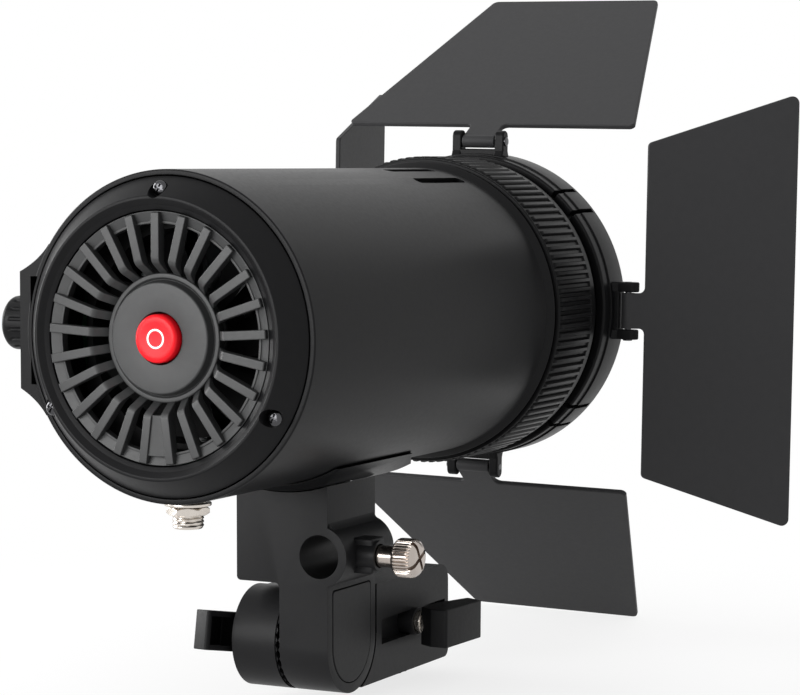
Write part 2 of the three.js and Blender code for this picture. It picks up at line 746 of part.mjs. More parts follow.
// Barrel with its control side, rear pocket, cooling slots and the holes for the jack, knob and button.
function barrel() {
  const shell = revolve([
    [barrelBore, 0],
    [barrelRadius - rimChamfer, 0],
    [barrelRadius, rimChamfer],
    [barrelRadius, barrelLength],
    [barrelRadius + flangeRise, barrelLength + flangeLength],
    [barrelBore, barrelLength + flangeLength],
  ], largeSides);
  const core = band(0, barrelBore, -overrun, barrelLength + overrun, largeSides);
  const topFoot = polar(barrelRadius, sideFlankTopAngle);
  const bottomFoot = polar(barrelRadius, sideFlankBottomAngle);
  const topFlank = flankPoint(topFoot, sideFlatTop);
  const bottomFlank = flankPoint(bottomFoot, sideFlatBottom);
  const side = new THREE.Shape();
  side.moveTo(topFoot[0], topFoot[1]);
  side.quadraticCurveTo(topFlank.x, topFlank.y, sideFlatX, sideFlatTop);
  side.lineTo(sideFlatX, sideFlatBottom);
  side.quadraticCurveTo(bottomFlank.x, bottomFlank.y, bottomFoot[0], bottomFoot[1]);
  side.lineTo(bottomFoot[0] + barrelWall, 0);
  const slope = new THREE.Shape();
  slope.moveTo(sideFlatX - overrun, sideFlatLength - sideFlatSlope);
  slope.lineTo(-barrelBore, sideFlatLength + overrun);
  slope.lineTo(sideFlatX - overrun, sideFlatLength + overrun);
  const nose = prism('z', slope, sideFlatBottom - sideNoseMargin, sideFlatTop + sideNoseMargin);
  const panel = cut(prism('y', side, 0, sideFlatLength), core, nose);
  return cut(join(shell, panel), sidePocket(), ...ventCutters(), ...barrelHoles());
}

// Two slivers behind the control side, between its flat wall and the round rim.
function sidePocket() {
  const wallX = sideFlatX + sidePocketWall;
  const low = [wallX, -overrun, sideFlatBottom + sidePocketInset];
  const high = [-barrelBore + 3 * overrun, sidePocketDepth, sideFlatTop - sidePocketInset];
  const round = band(0, barrelRadius - barrelWall / 2, -2 * overrun, sidePocketDepth + overrun, largeSides);
  return cut(box(low, high), round);
}

function ventCutters() {
  return ventAngles.map((degrees) => {
    const end = ventWidth / 2;
    const slot = outlineOf([
      [ventRear, -end],
      [ventRear + ventLength, -end],
      [ventRear + ventLength, end],
      [ventRear, end],
    ], ventCornerRadius);
    const pushed = { depth: wallCutDepth, bevelEnabled: false, curveSegments: cornerSteps };
    const geometry = new THREE.ExtrudeGeometry(slot, pushed);
    const upright = new THREE.Matrix4().makeBasis(
      new THREE.Vector3(0, 1, 0),
      new THREE.Vector3(-1, 0, 0),
      new THREE.Vector3(0, 0, 1),
    );
    geometry.applyMatrix4(upright).translate(0, 0, barrelBore - barrelWall).rotateY(radians(90 - degrees));
    return solidOf(geometry);
  });
}

function barrelHoles() {
  const jackWay = [-barrelRadius - overrun, wallCutDepth - barrelBore];
  const jackHole = rod('z', jackThreadRadius + seatGap, jackWay[0], jackWay[1], [0, jackY]);
  const depth = sideFlatX + knobStubLength + seatGap;
  const knobHole = rod('x', knobStubRadius + seatGap, sideFlatX - overrun, depth, [knobY, knobZ]);
  const low = [sideFlatX - overrun, plateRear - seatGap, sideFlatBottom + plateInset - seatGap];
  const high = [sideFlatX + plateThickness, plateFront + seatGap, sideFlatTop - plateInset + seatGap];
  const wayEnd = sideFlatX + modeButtonLength + seatGap;
  const buttonWay = rod('x', modeButtonRadius, sideFlatX, wayEnd, [modeButtonY, knobZ]);
  return [jackHole, knobHole, box(low, high), buttonWay];
}

function controlPlate() {
  const faceX = sideFlatX + seatGap;
  const innerX = sideFlatX + plateThickness - seatGap;
  const low = [faceX - seatGap, plateRear, sideFlatBottom + plateInset];
  const high = [innerX, plateFront, sideFlatTop - plateInset];
  const halfHeight = windowHalfHeight + seatGap;
  const windowLow = [faceX - overrun, windowRear - seatGap, knobZ - halfHeight];
  const windowHigh = [innerX + overrun, windowRear + windowLength + seatGap, knobZ + halfHeight];
  const buttonHole = rod('x', modeButtonRadius, faceX - overrun, innerX + overrun, [modeButtonY, knobZ]);
  return cut(box(low, high), box(windowLow, windowHigh), buttonHole);
}

function displayWindow() {
  const innerX = sideFlatX + plateThickness - seatGap;
  const low = [sideFlatX + windowInset, windowRear, knobZ - windowHalfHeight];
  return box(low, [innerX, windowRear + windowLength, knobZ + windowHalfHeight]);
}

function modeButton() {
  const start = sideFlatX - modeButtonProud;
  return rod('x', modeButtonRadius - seatGap, start, start + modeButtonLength, [modeButtonY, knobZ]);
}

// Fluted knob: a round body with a crowned end and grooves that stop short of it.
function panelKnob() {
  const baseX = sideFlatX - seatGap;
  const outline = [
    [0, 0],
    [knobRadius, 0],
    [knobRadius, knobLength - knobCrown],
    [knobRadius - knobCrown / 3, knobLength - knobCrown / 3],
    [knobRadius - knobCrown, knobLength],
    [0, knobLength],
  ];
  const points = outline.map(([radius, y]) => new THREE.Vector2(radius, y));
  const body = new THREE.LatheGeometry(points, knobFlutes);
  body.rotateZ(Math.PI / 2).translate(baseX, knobY, knobZ);
  const stub = rod('x', knobStubRadius, baseX - seatGap, baseX + knobStubLength, [knobY, knobZ]);
  const flutes = [];
  for (let i = 0; i < knobFlutes; i += 1) {
    const flute = new THREE.BoxGeometry(knobLength - 2 * knobFluteEnd, knobFluteWidth, 2 * knobFluteDepth);
    flute.translate(-knobLength / 2, 0, knobRadius).rotateX((i * 2 * Math.PI) / knobFlutes);
    flutes.push(solidOf(flute.translate(baseX, knobY, knobZ)));
  }
  return cut(join(solidOf(body), stub), ...flutes);
}

// Rear bezel: cone, nose, dished inner ring and a spigot that slides into the barrel.
function rearBezel() {
  const spigotRadius = barrelBore - seatGap;
  const spigotBore = spigotRadius - bezelSpigotWall;
  const dishRadius = grilleRingOuterRadius + seatGap;
  const ring = revolve([
    [spigotRadius, 0],
    [spigotRadius, bezelSpigotLength],
    [spigotBore, bezelSpigotLength],
    [spigotBore, 0],
    [dishRadius, grilleRingFrontY],
    [dishRadius, bezelDishY],
    [dishRadius + bezelDishRun, bezelDishY - bezelDishDrop],
    [bezelNoseRadius - seatGap, bezelNoseY],
    [bezelNoseRadius + seatGap, bezelNoseY],
  ], largeSides);
  const notchFront = bezelSpigotLength + overrun;
  const notch = box([-jackRoom, seatGap, -barrelRadius], [jackRoom, notchFront, jackTopZ + overrun]);
  return cut(ring, notch, ...bezelScrewAngles.map((degrees) => bezelScrewRoom(degrees)));
}

// Rear end of a screw's head: on the cone at the screws' pitch radius.
function screwHeadRear() {
  return (bezelNoseY * (barrelBore - bezelScrewPitchRadius)) / (barrelBore - bezelNoseRadius);
}

function bezelScrewRoom(degrees) {
  const [x, z] = polar(bezelScrewPitchRadius, degrees);
  const seat = screwHeadRear() + bezelScrewHeadDepth;
  const end = seat + bezelScrewLength + 2 * seatGap;
  const head = rod('y', bezelScrewRadius + seatGap, bezelNoseY - overrun, seat + seatGap, [x, z]);
  const shank = rod('y', bezelScrewRadius / 2 + seatGap, seat, end, [x, z], tinySides);
  return join(head, shank);
}

function bezelScrew(degrees) {
  const [x, z] = polar(bezelScrewPitchRadius, degrees);
  const seat = screwHeadRear() + bezelScrewHeadDepth;
  const headRear = seat - bezelScrewHeadDepth;
  const head = rod('y', bezelScrewRadius, headRear, seat, [x, z]);
  const shank = rod('y', bezelScrewRadius / 2, seat - seatGap, seat + bezelScrewLength, [x, z], tinySides);
  const [arm, blade] = [crossArmLength, crossArmHalfWidth];
  const depth = headRear + bezelScrewHeadDepth / 2;
  const across = box([x - arm, headRear - overrun, z - blade], [x + arm, depth, z + blade]);
  const upright = box([x - blade, headRear - overrun, z - arm], [x + blade, depth, z + arm]);
  return cut(join(head, shank), across, upright);
}

// One rib in side view: straight over the opening, then bent down into the side of the hub's rim.
function ribGeometry(width) {
  const rib = new THREE.Shape();
  rib.moveTo(hubRadius - overrun, ribRootY);
  rib.lineTo(hubRadius, ribRootY);
  rib.lineTo(ribBendRadius, ribRearY);
  rib.lineTo(ribOuterRadius, ribRearY);
  rib.lineTo(ribOuterRadius, ribRearY + ribDepth);
  rib.lineTo(ribBendRadius, ribRearY + ribDepth);
  rib.lineTo(hubRadius - overrun, hubDiscY + hubDepth - seatGap);
  const geometry = new THREE.ExtrudeGeometry(rib, { depth: width, bevelEnabled: false });
  return geometry.translate(0, 0, -width / 2);
}

// Cooling grille: hub, ribs, the filled wedge between the two lowest ribs and the ring that holds them.
function rearGrille() {
  const hubFrontY = hubDiscY + hubDepth;
  const ring = revolve([
    [grilleRingInnerRadius, grilleLipY],
    [grilleRingInnerRadius + grilleLipWidth, grilleLipY],
    [grilleRingInnerRadius + grilleLipWidth, grilleSlopeY],
    [grilleRingOuterRadius, grilleRingRearY],
    [grilleRingOuterRadius, grilleRingFrontY],
    [grilleRingInnerRadius, grilleRingFrontY],
  ], ribCount);
  const hub = revolve([
    [buttonRadius + seatGap, hubDiscY],
    [hubDiscRadius, hubDiscY],
    [hubStepRadius, hubStepY],
    [2 * hubStepRadius - hubDiscRadius, hubRimY],
    [hubRadius, hubRimY],
    [hubRadius, hubFrontY],
    [switchRadius + seatGap, hubFrontY],
    [switchRadius + seatGap, hubDiscY + hubDiscThickness],
    [buttonRadius + seatGap, hubDiscY + hubDiscThickness],
  ], ribCount);
  const rib = ribGeometry(ribWidth);
  const step = 360 / ribCount;
  const ribs = [];
  for (let i = 0; i < ribCount; i += 1) ribs.push(turnedSolid(rib, 90 - i * step));
  const wedge = new THREE.Shape();
  const wedgeHalf = radians(step / 2);
  wedge.absarc(0, 0, ribOuterRadius - ribWidth, -Math.PI / 2 - wedgeHalf, -Math.PI / 2 + wedgeHalf, false);
  wedge.absarc(0, 0, ribBendRadius, -Math.PI / 2 + wedgeHalf, -Math.PI / 2 - wedgeHalf, true);
  const panel = prism('y', wedge, ribRearY + wedgeStep, ribRearY + ribDepth);
  return join(hub, ring, ...ribs, panel);
}

function switchBody() {
  const end = switchLipY + switchLength;
  return revolve([
    [0, end],
    [switchRadius, end],
    [switchRadius, switchLipY],
    [switchRadius - switchWall, switchLipY],
    [switchRadius - switchWall, end - switchFloor],
    [0, end - switchFloor],
  ], middleSides);
}

function powerButton() {
  const end = switchLipY + switchLength - switchFloor - buttonTravel - seatGap;
  return revolve([
    [0, buttonRearY],
    [buttonRadius - buttonCrown, buttonRearY],
    [buttonRadius, buttonRearY + buttonCrown],
    [buttonRadius, end],
    [0, end],
  ], middleSides);
}

// Axial fan frame: square with round corners, bore, four struts and the motor base with its post.
function fanFrame() {
  const half = fanHalfWidth;
  const square = outlineOf([[-half, -half], [half, -half], [half, half], [-half, half]], fanCornerRadius);
  const plate = prism('y', square, fanRearY, fanFrontY, cornerSteps);
  const bore = rod('y', fanBoreRadius, fanRearY - overrun, fanFrontY + overrun, [0, 0], middleSides);
  const strutRear = fanFrontY - fanStrutDepth;
  const reach = fanBoreRadius + fanCornerRadius / 2;
  const across = box([-reach, strutRear, -fanStrutWidth / 2], [reach, fanFrontY, fanStrutWidth / 2]);
  const upright = box([-fanStrutWidth / 2, strutRear, -reach], [fanStrutWidth / 2, fanFrontY, reach]);
  const motor = rod('y', fanMotorRadius, fanFrontY - fanMotorDepth, fanFrontY);
  const post = rod('y', fanPostRadius, rotorRearY + rotorHubWall + seatGap, fanFrontY - seatGap);
  return join(cut(plate, bore), across, upright, motor, post);
}

// Fan rotor: a cup over the motor and pitched blades.
function fanRotor() {
  const end = rotorRearY + rotorHubLength;
  const cup = revolve([
    [0, rotorRearY],
    [rotorHubRadius, rotorRearY],
    [rotorHubRadius, end],
    [fanPostRadius + seatGap, end],
    [fanPostRadius + seatGap, rotorRearY + rotorHubWall],
    [0, rotorRearY + rotorHubWall],
  ], middleSides);
  const span = rotorBladeRadius - rotorHubRadius + rotorHubWall;
  const blades = [];
  for (let i = 0; i < rotorBlades; i += 1) {
    const blade = new THREE.BoxGeometry(span, rotorBladeThickness, rotorBladeChord);
    blade.rotateX(radians(90 - rotorBladePitch));
    blade.translate(rotorHubRadius - rotorHubWall + span / 2, rotorRearY + rotorHubLength / 2, 0);
    blades.push(turnedSolid(blade, (i * 360) / rotorBlades));
  }
  const swept = rod('y', rotorBladeRadius, rotorRearY, end, [0, 0], middleSides);
  return join(cup, ...blades).intersect(swept);
}

// Ring-shaped driver board with its round capacitors.
function driverBoard() {
  const outer = barrelBore - seatGap;
  const board = band(driverInnerRadius, outer, driverY, driverY + boardThickness, middleSides);
  const parts = capacitorAngles.map((degrees) => {
    const centre = polar((driverInnerRadius + barrelBore) / 2, degrees);
    const frontY = driverY + boardThickness + capacitorLength;
    return rod('y', capacitorRadius, driverY + boardThickness / 2, frontY, centre, tinySides);
  });
  return join(board, ...parts);
}

// Heat sink: a base disc with straight radial fins round a core, notched round the driver board's parts.
function heatSink() {
  const base = band(0, barrelBore - seatGap, sinkBaseY, sinkBaseY + sinkBaseThickness, middleSides);
  const core = rod('y', sinkCoreRadius, sinkRearY, sinkBaseY + overrun, [0, 0], sinkFins);
  const finRear = sinkRearY;
  const fin = new THREE.BoxGeometry(sinkFinRadius, sinkBaseY + overrun - finRear, sinkFinThickness);
  fin.translate(sinkFinRadius / 2, (sinkBaseY + overrun + finRear) / 2, 0);
  const fins = [];
  for (let i = 0; i < sinkFins; i += 1) fins.push(turnedSolid(fin, ((i + 0.5) * 360) / sinkFins));
  const room = band(
    driverInnerRadius - capacitorRadius, barrelBore, finRear - overrun,
    driverY + boardThickness + capacitorLength + seatGap, middleSides);
  return join(cut(join(core, ...fins), room), base);
}

function ledBoard() {
  return rod('y', starRadius, starY, starY + boardThickness, [0, 0], middleSides);
}

function ledChip() {
  return rod('y', emitterRadius, emitterY, emitterY + emitterThickness);
}

// Reflector cup that stands on the heat sink round the emitter.
function reflector() {
  const rearY = starY + boardThickness + seatGap;
  const frontY = rearY + reflectorDepth;
  const outer = [];
  const inner = [];
  for (let i = 0; i <= arcSteps; i += 1) {
    const share = i / arcSteps;
    const radius = reflectorThroatRadius + (reflectorMouthRadius - reflectorThroatRadius) * Math.sqrt(share);
    outer.push([radius + reflectorWall, rearY + share * reflectorDepth]);
    inner.unshift([radius, rearY + share * reflectorDepth]);
  }
  const rim = barrelBore - seatGap;
  return revolve([
    ...outer.slice(0, -1),
    [reflectorMouthRadius + reflectorWall, frontY - reflectorFlange],
    [rim, frontY - reflectorFlange],
    [rim, frontY],
    ...inner,
  ], middleSides);
}

// Fixed tube with its spigot in the barrel and the slots that the lens cell's keys slide in.
function frontTube() {
  const spigot = barrelBore - seatGap;
  const shoulder = tubeStartY;
  const ring = revolve([
    [tubeBore - tubeWall / 2, shoulder - tubeSpigotLength],
    [spigot, shoulder - tubeSpigotLength],
    [spigot, shoulder],
    [tubeRadius, shoulder],
    [tubeRadius, tubeEndY],
    [tubeBore, tubeEndY],
    [tubeBore, shoulder],
  ], largeSides);
  const slot = new THREE.BoxGeometry(tubeWall + overrun * 2, tubeSlotLength, keyWidth + 2 * seatGap);
  slot.translate(tubeRadius - tubeWall / 2, tubeSlotRear + tubeSlotLength / 2, 0);
  const slots = [];
  for (let i = 0; i < keyCount; i += 1) slots.push(turnedSolid(slot, 90 + (i * 360) / keyCount));
  return cut(ring, ...slots);
}

function lensCarrier() {
  const outer = tubeBore - seatGap;
  const bore = outer - lensCellWall;
  const ring = revolve([
    [bore - lensLipWidth, lensRearY],
    [outer, lensRearY],
    [outer, lensRearY + lensCellLength],
    [bore, lensRearY + lensCellLength],
    [bore, lensRearY + lensLipDepth],
    [bore - lensLipWidth, lensRearY + lensLipDepth],
  ], middleSides);
  const key = new THREE.BoxGeometry(tubeWall + lensCellWall / 2, keyLength, keyWidth);
  key.translate(tubeRadius - seatGap - (tubeWall + lensCellWall / 2) / 2, lensRearY + lensCellLength / 2, 0);
  const keys = [];
  for (let i = 0; i < keyCount; i += 1) keys.push(turnedSolid(key, 90 + (i * 360) / keyCount));
  return join(ring, ...keys);
}

// Plano-convex lens: a flat rear face, a straight edge and a crowned front.
function lens() {
  const radius = tubeBore - 2 * seatGap - lensCellWall;
  const rearY = lensRearY + lensLipDepth + seatGap;
  const points = [[0, rearY], [radius, rearY]];
  const dome = (radius * radius + lensCrown * lensCrown) / (2 * lensCrown);
  const spread = Math.asin(radius / dome);
  const crownY = rearY + lensEdgeThickness + lensCrown;
  for (let i = 0; i <= arcSteps; i += 1) {
    const angle = spread * (1 - i / arcSteps);
    points.push([dome * Math.sin(angle), crownY - dome * (1 - Math.cos(angle))]);
  }
  return revolve(points, middleSides);
}

// Focus ring: smooth rims either side of a band of straight grooves, cut down to just above the rims.
function focusRing() {
  const rims = band(ringBore, focusRimRadius, focusRearY, focusFrontY, largeSides);
  const knurl = new THREE.Shape();
  for (let i = 0; i < focusGrooves * 2; i += 1) {
    const radius = focusKnurlRadius - (i % 2) * focusGrooveDepth;
    const [x, z] = polar(radius, (i * 180) / focusGrooves);
    if (i === 0) knurl.moveTo(x, z);
    else knurl.lineTo(x, z);
  }
  const hole = new THREE.Path();
  hole.absarc(0, 0, (ringBore + focusRimRadius) / 2, 0, 2 * Math.PI, true);
  knurl.holes.push(hole);
  const grip = prism('y', knurl, focusRearY + focusRearRim, focusFrontY - focusFrontRim, smallSides);
  return join(rims, grip);
}

// Pair of hinge ears, each a post with a round top, and the bar between them under the knuckle.
function hingeEars() {
  const round = earWidth / 2;
  const root = ringRadius - 2 * ringChamfer;
  const topCentre = hingeRadius + earRise - round;
  const shape = new THREE.Shape();
  shape.moveTo(hingeY - round, root);
  shape.lineTo(hingeY - round, topCentre);
  shape.absarc(hingeY, topCentre, round, Math.PI, 0, true);
  shape.lineTo(hingeY + round, root);
  const right = prism('x', shape, earInnerHalf, earOuterHalf, cornerSteps);
  const left = prism('x', shape, -earOuterHalf, -earInnerHalf, cornerSteps);
  const barHalf = earInnerHalf + seatGap;
  const barTop = hingeRadius - knuckleRadius - seatGap;
  const bar = box([-barHalf, hingeY - round, root], [barHalf, hingeY + round, barTop]);
  const reach = earOuterHalf + overrun;
  const hole = rod('x', pinRadius + seatGap, -reach, reach, [hingeY, hingeRadius], tinySides);
  return cut(join(right, left, bar), hole);
}

// Ring that carries the leaves, with four pairs of hinge ears and the slots beside its snap tabs.
function barnRing() {
  const rearRadius = ringRadius - ringRearStep;
  const lipRadius = tubeRadius - ringLipWidth;
  const ring = revolve([
    [ringBore, ringRearY],
    [rearRadius - ringChamfer, ringRearY],
    [rearRadius, ringRearY + ringChamfer],
    [rearRadius, ringRearY + ringStepLength],
    [ringRadius, ringRearY + ringStepLength],
    [ringRadius, ringFrontY - ringChamfer],
    [ringRadius - ringChamfer, ringFrontY],
    [lipRadius, ringFrontY],
    [lipRadius, tubeEndY + seatGap],
    [ringBore, tubeEndY + seatGap],
  ], largeSides);
  const ears = geometryOf(hingeEars());
  const slotLength = ringLength - snapSlotEnd;
  const slotDepth = ringRadius - ringBore + 2 * overrun;
  const slot = new THREE.BoxGeometry(slotDepth, slotLength + overrun, snapSlotWidth);
  slot.translate((ringRadius + ringBore) / 2, ringRearY + (slotLength - overrun) / 2, 0);
  const slots = [];
  const earSets = [];
  for (let i = 0; i < leafCount; i += 1) {
    const quarter = (i * 360) / leafCount;
    const diagonal = quarter + 180 / leafCount;
    slots.push(turnedSolid(slot, diagonal - snapSlotAngle), turnedSolid(slot, diagonal + snapSlotAngle));
    earSets.push(turnedSolid(ears, quarter));
  }
  return join(cut(ring, ...slots), ...earSets);
}

// Hinge pin with a flat head outside one ear, in the leaf's own frame.
function hingePin() {
  const headX = earOuterHalf + seatGap;
  const shank = rod('x', pinRadius, -headX, headX, [0, 0], tinySides);
  const head = rod('x', pinHeadRadius, headX, headX + pinHeadLength, [0, 0], tinySides);
  return join(shank, head);
}

// Leaf with its hinge line on the X axis and its plate along +Y, from a root to a tip of given half widths.
function leaf(root, tip, rootHalf, tipHalf) {
  const outline = outlineOf([
    [-rootHalf, root],
    [rootHalf, root],
    [tipHalf, tip],
    [-tipHalf, tip],
  ], leafCornerRadius);
  const low = leafOffset - leafThickness / 2;
  const high = leafOffset + leafThickness / 2;
  const plate = prism('z', outline, low, high);
  const tabHalf = earInnerHalf - seatGap;
  const tab = box([-tabHalf, 0, low], [tabHalf, root + leafCornerRadius, high]);
  const knuckle = rod('x', knuckleRadius, -tabHalf, tabHalf, [0, 0], smallSides);
  const hole = rod('x', pinRadius + seatGap, -tabHalf - overrun, tabHalf + overrun, [0, 0], tinySides);
  return cut(join(plate, tab, knuckle), hole);
}

// Thumb screw for an umbrella shaft, with a knurled head and a cross slot in its end.
function umbrellaScrew() {
  const centre = [umbrellaScrewY, umbrellaZ];
  const start = umbrellaX + umbrellaBoreRadius + thumbPadLength + 2 * seatGap;
  const neck = rod('x', thumbNeckRadius, start, thumbHeadX + overrun, centre);
  const endX = thumbHeadX + thumbHeadLength;
  const toothed = new THREE.Shape();
  for (let i = 0; i < thumbKnurls * 2; i += 1) {
    const radius = thumbHeadRadius - (i % 2) * thumbKnurlDepth;
    const [y, z] = polar(radius, (i * 180) / thumbKnurls);
    if (i === 0) toothed.moveTo(y + centre[0], z + centre[1]);
    else toothed.lineTo(y + centre[0], z + centre[1]);
  }
  const head = prism('x', toothed, thumbHeadX, endX);
  const reach = thumbHeadRadius + overrun;
  const slotFloor = endX - thumbSlotDepth;
  const [y, z, w] = [centre[0], centre[1], thumbSlotWidth / 2];
  const level = box([slotFloor, y - reach, z - w], [endX + overrun, y + reach, z + w]);
  const upright = box([slotFloor, y - w, z - reach], [endX + overrun, y + w, z + reach]);
  return cut(join(neck, head), level, upright);
}

function umbrellaPad() {
  const start = umbrellaX + umbrellaBoreRadius + seatGap;
  return rod('x', thumbNeckRadius, start, start + thumbPadLength, [umbrellaScrewY, umbrellaZ]);
}

// Power inlet: threaded barrel with an open socket and its centre pin.
function jackBody() {
  const centre = [0, jackY];
  const boreEnd = jackBottomZ + jackBoreDepth;
  const shell = rod('z', jackThreadRadius, jackBottomZ, jackTopZ, centre);
  const bore = rod('z', jackBoreRadius, jackBottomZ - overrun, boreEnd, centre);
  const pin = rod('z', jackPinRadius, jackBottomZ + jackPinSetback, boreEnd + overrun, centre, tinySides);
  return join(cut(shell, bore), pin);
}

function jackWasher() {
  const bore = jackThreadRadius + seatGap;
  return tube('z', bore, washerRadius, washerTopZ - washerThickness, washerTopZ, [0, jackY], middleSides);
}

function jackNut() {
  const bottom = jackNutTopZ - jackNutThickness;
  const nut = rod('z', jackNutCornerRadius, bottom, jackNutTopZ, [0, jackY], hexSides);
  return cut(nut, rod('z', jackThreadRadius + seatGap, bottom - overrun, jackNutTopZ + overrun, [0, jackY]));
}

const light = new THREE.Group();

addMesh(light, 'stand_block', standBlock(), 'housing');
addMesh(light, 'socket_collar', socketCollar(), 'housing');
addMesh(light, 'clamp_screw', clampScrew(), 'nickel');
addMesh(light, 'clamp_shoe', clampShoe(), 'brass');
addMesh(light, 'tilt_bolt', tiltBolt(), 'steel');

const clampLever = addMesh(light, 'clamp_lever', leverBody(), 'housing');
clampLever.rotation.x = radians(-clampLeverDrop);
clampLever.position.set(clampLeverX, 0, tiltHeight);

const tiltLever = addMesh(light, 'tilt_lever', leverBody(), 'housing');
tiltLever.rotation.set(radians(-tiltLeverRaise), 0, Math.PI);
tiltLever.position.set(cheekOuterX - seatGap, -tiltBehindSocket, tiltHeight);

const head = new THREE.Group();
head.position.set(0, headRearY, lightAxisZ);
light.add(head);

addMesh(head, 'head_bracket', headBracket(), 'housing');
addMesh(head, 'ear_cover', earCover(), 'housing');
addMesh(head, 'tilt_nut', tiltNut(), 'steel');
addMesh(head, 'foot_pad', footPad(), 'housing');
addMesh(head, 'barrel', barrel(), 'housing');
addMesh(head, 'control_plate', controlPlate(), 'ring');
addMesh(head, 'display_window', displayWindow(), 'glass');
addMesh(head, 'mode_button', modeButton(), 'housing');
addMesh(head, 'panel_knob', panelKnob(), 'housing');
addMesh(head, 'rear_bezel', rearBezel(), 'housing');
bezelScrewAngles.forEach((degrees, i) => {
  addMesh(head, `bezel_screw_${i + 1}`, bezelScrew(degrees), 'steel');
});
addMesh(head, 'rear_grille', rearGrille(), 'ribs');
addMesh(head, 'switch_body', switchBody(), 'ring');
addMesh(head, 'power_button', powerButton(), 'red');
addMesh(head, 'fan_frame', fanFrame(), 'ring');
addMesh(head, 'fan_rotor', fanRotor(), 'ring');
addMesh(head, 'driver_board', driverBoard(), 'board');
addMesh(head, 'heat_sink', heatSink(), 'aluminium');
addMesh(head, 'led_board', ledBoard(), 'aluminium');
addMesh(head, 'led_chip', ledChip(), 'phosphor');
addMesh(head, 'reflector', reflector(), 'mirror');
addMesh(head, 'front_tube', frontTube(), 'ring');
addMesh(head, 'lens_carrier', lensCarrier(), 'ring');
addMesh(head, 'lens', lens(), 'glass');
addMesh(head, 'focus_ring', focusRing(), 'ring');
addMesh(head, 'umbrella_screw', umbrellaScrew(), 'nickel');
addMesh(head, 'umbrella_pad', umbrellaPad(), 'brass');
addMesh(head, 'jack_body', jackBody(), 'nickel');
addMesh(head, 'jack_washer', jackWasher(), 'nickel');
addMesh(head, 'jack_nut', jackNut(), 'nickel');

const ringGroup = new THREE.Group();
ringGroup.rotation.y = radians(ringRoll);
head.add(ringGroup);
addMesh(ringGroup, 'barn_ring', barnRing(), 'ring');

const leafSides = { top: 0, right: 90, bottom: 180, left: -90 };
const endLeafSizes = [endLeafRoot, endLeafTip, endLeafRootHalf, endLeafTipHalf];
const sideLeafSizes = [sideLeafRoot, sideLeafTip, sideLeafRootHalf, sideLeafTipHalf];
const leafSizes = { top: endLeafSizes, right: sideLeafSizes, bottom: endLeafSizes, left: sideLeafSizes };
Object.entries(leafSides).forEach(([side, degrees]) => {
  const quarter = new THREE.Group();
  quarter.rotation.y = radians(degrees);
  ringGroup.add(quarter);
  const hinge = new THREE.Group();
  hinge.position.set(0, hingeY, hingeRadius);
  hinge.rotation.x = radians(leafOpenings[side]);
  quarter.add(hinge);
  addMesh(hinge, `leaf_${side}`, leaf(...leafSizes[side]), 'leaf');
  addMesh(hinge, `hinge_pin_${side}`, hingePin(), 'steel');
});

export default light;
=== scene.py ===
"""Looks of a focusing video light on its stand bracket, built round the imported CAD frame.

Every shape is worked out in millimetres, in the head's own frame or the stand's, and becomes metres in its mesh.
The head's frame has y along the light axis from the barrel's rear rim and z up from that axis.
"""

import bmesh
import bpy
import numpy as np
from mathutils import Matrix, Vector


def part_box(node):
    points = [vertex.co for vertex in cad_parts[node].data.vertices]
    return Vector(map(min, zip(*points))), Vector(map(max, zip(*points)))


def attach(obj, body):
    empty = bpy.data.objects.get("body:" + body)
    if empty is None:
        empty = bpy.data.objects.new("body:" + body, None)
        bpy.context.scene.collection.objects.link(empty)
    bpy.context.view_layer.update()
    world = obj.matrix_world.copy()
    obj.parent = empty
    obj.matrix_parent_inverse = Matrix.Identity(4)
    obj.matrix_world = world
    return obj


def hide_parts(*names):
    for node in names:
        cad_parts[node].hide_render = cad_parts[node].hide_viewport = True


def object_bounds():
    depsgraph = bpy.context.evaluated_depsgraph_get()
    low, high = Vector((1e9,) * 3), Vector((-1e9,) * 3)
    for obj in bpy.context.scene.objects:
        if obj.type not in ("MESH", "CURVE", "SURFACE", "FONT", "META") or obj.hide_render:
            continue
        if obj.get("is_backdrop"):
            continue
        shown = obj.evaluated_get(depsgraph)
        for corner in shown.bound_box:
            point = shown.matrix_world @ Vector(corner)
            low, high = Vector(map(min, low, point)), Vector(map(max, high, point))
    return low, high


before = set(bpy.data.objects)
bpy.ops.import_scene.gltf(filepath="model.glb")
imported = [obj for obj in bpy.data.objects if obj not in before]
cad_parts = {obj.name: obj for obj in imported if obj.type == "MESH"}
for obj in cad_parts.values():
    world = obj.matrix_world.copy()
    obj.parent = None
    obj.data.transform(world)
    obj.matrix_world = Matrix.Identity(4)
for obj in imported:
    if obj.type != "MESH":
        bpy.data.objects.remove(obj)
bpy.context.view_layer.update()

MM = 0.001


def box_of(node):
    """Low and high corner of a CAD node, in millimetres."""
    low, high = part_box(node)
    return np.array(low) / MM, np.array(high) / MM


# Where the head and the stand have their own zero points.
STAND = np.zeros(3)
focus_low, focus_high = box_of("focus_ring")
HEAD = np.array([0, box_of("barrel")[0][1], (focus_low[2] + focus_high[2]) / 2])


def in_head(node):
    """Low and high corner of a CAD node in the head's frame."""
    low, high = box_of(node)
    return low - HEAD, high - HEAD


def axial(node):
    """Rear, front and outer radius of a CAD node that is round about the light axis."""
    low, high = in_head(node)
    return low[1], high[1], high[0]


# Fineness of round shapes.
RING_SIDES = 240
PART_SIDES = 96
SMALL_SIDES = 40
ARC_STEPS = 5
EDGE_STEPS = 3
CURVE_STEPS = 14
SHARP_DEGREES = 32

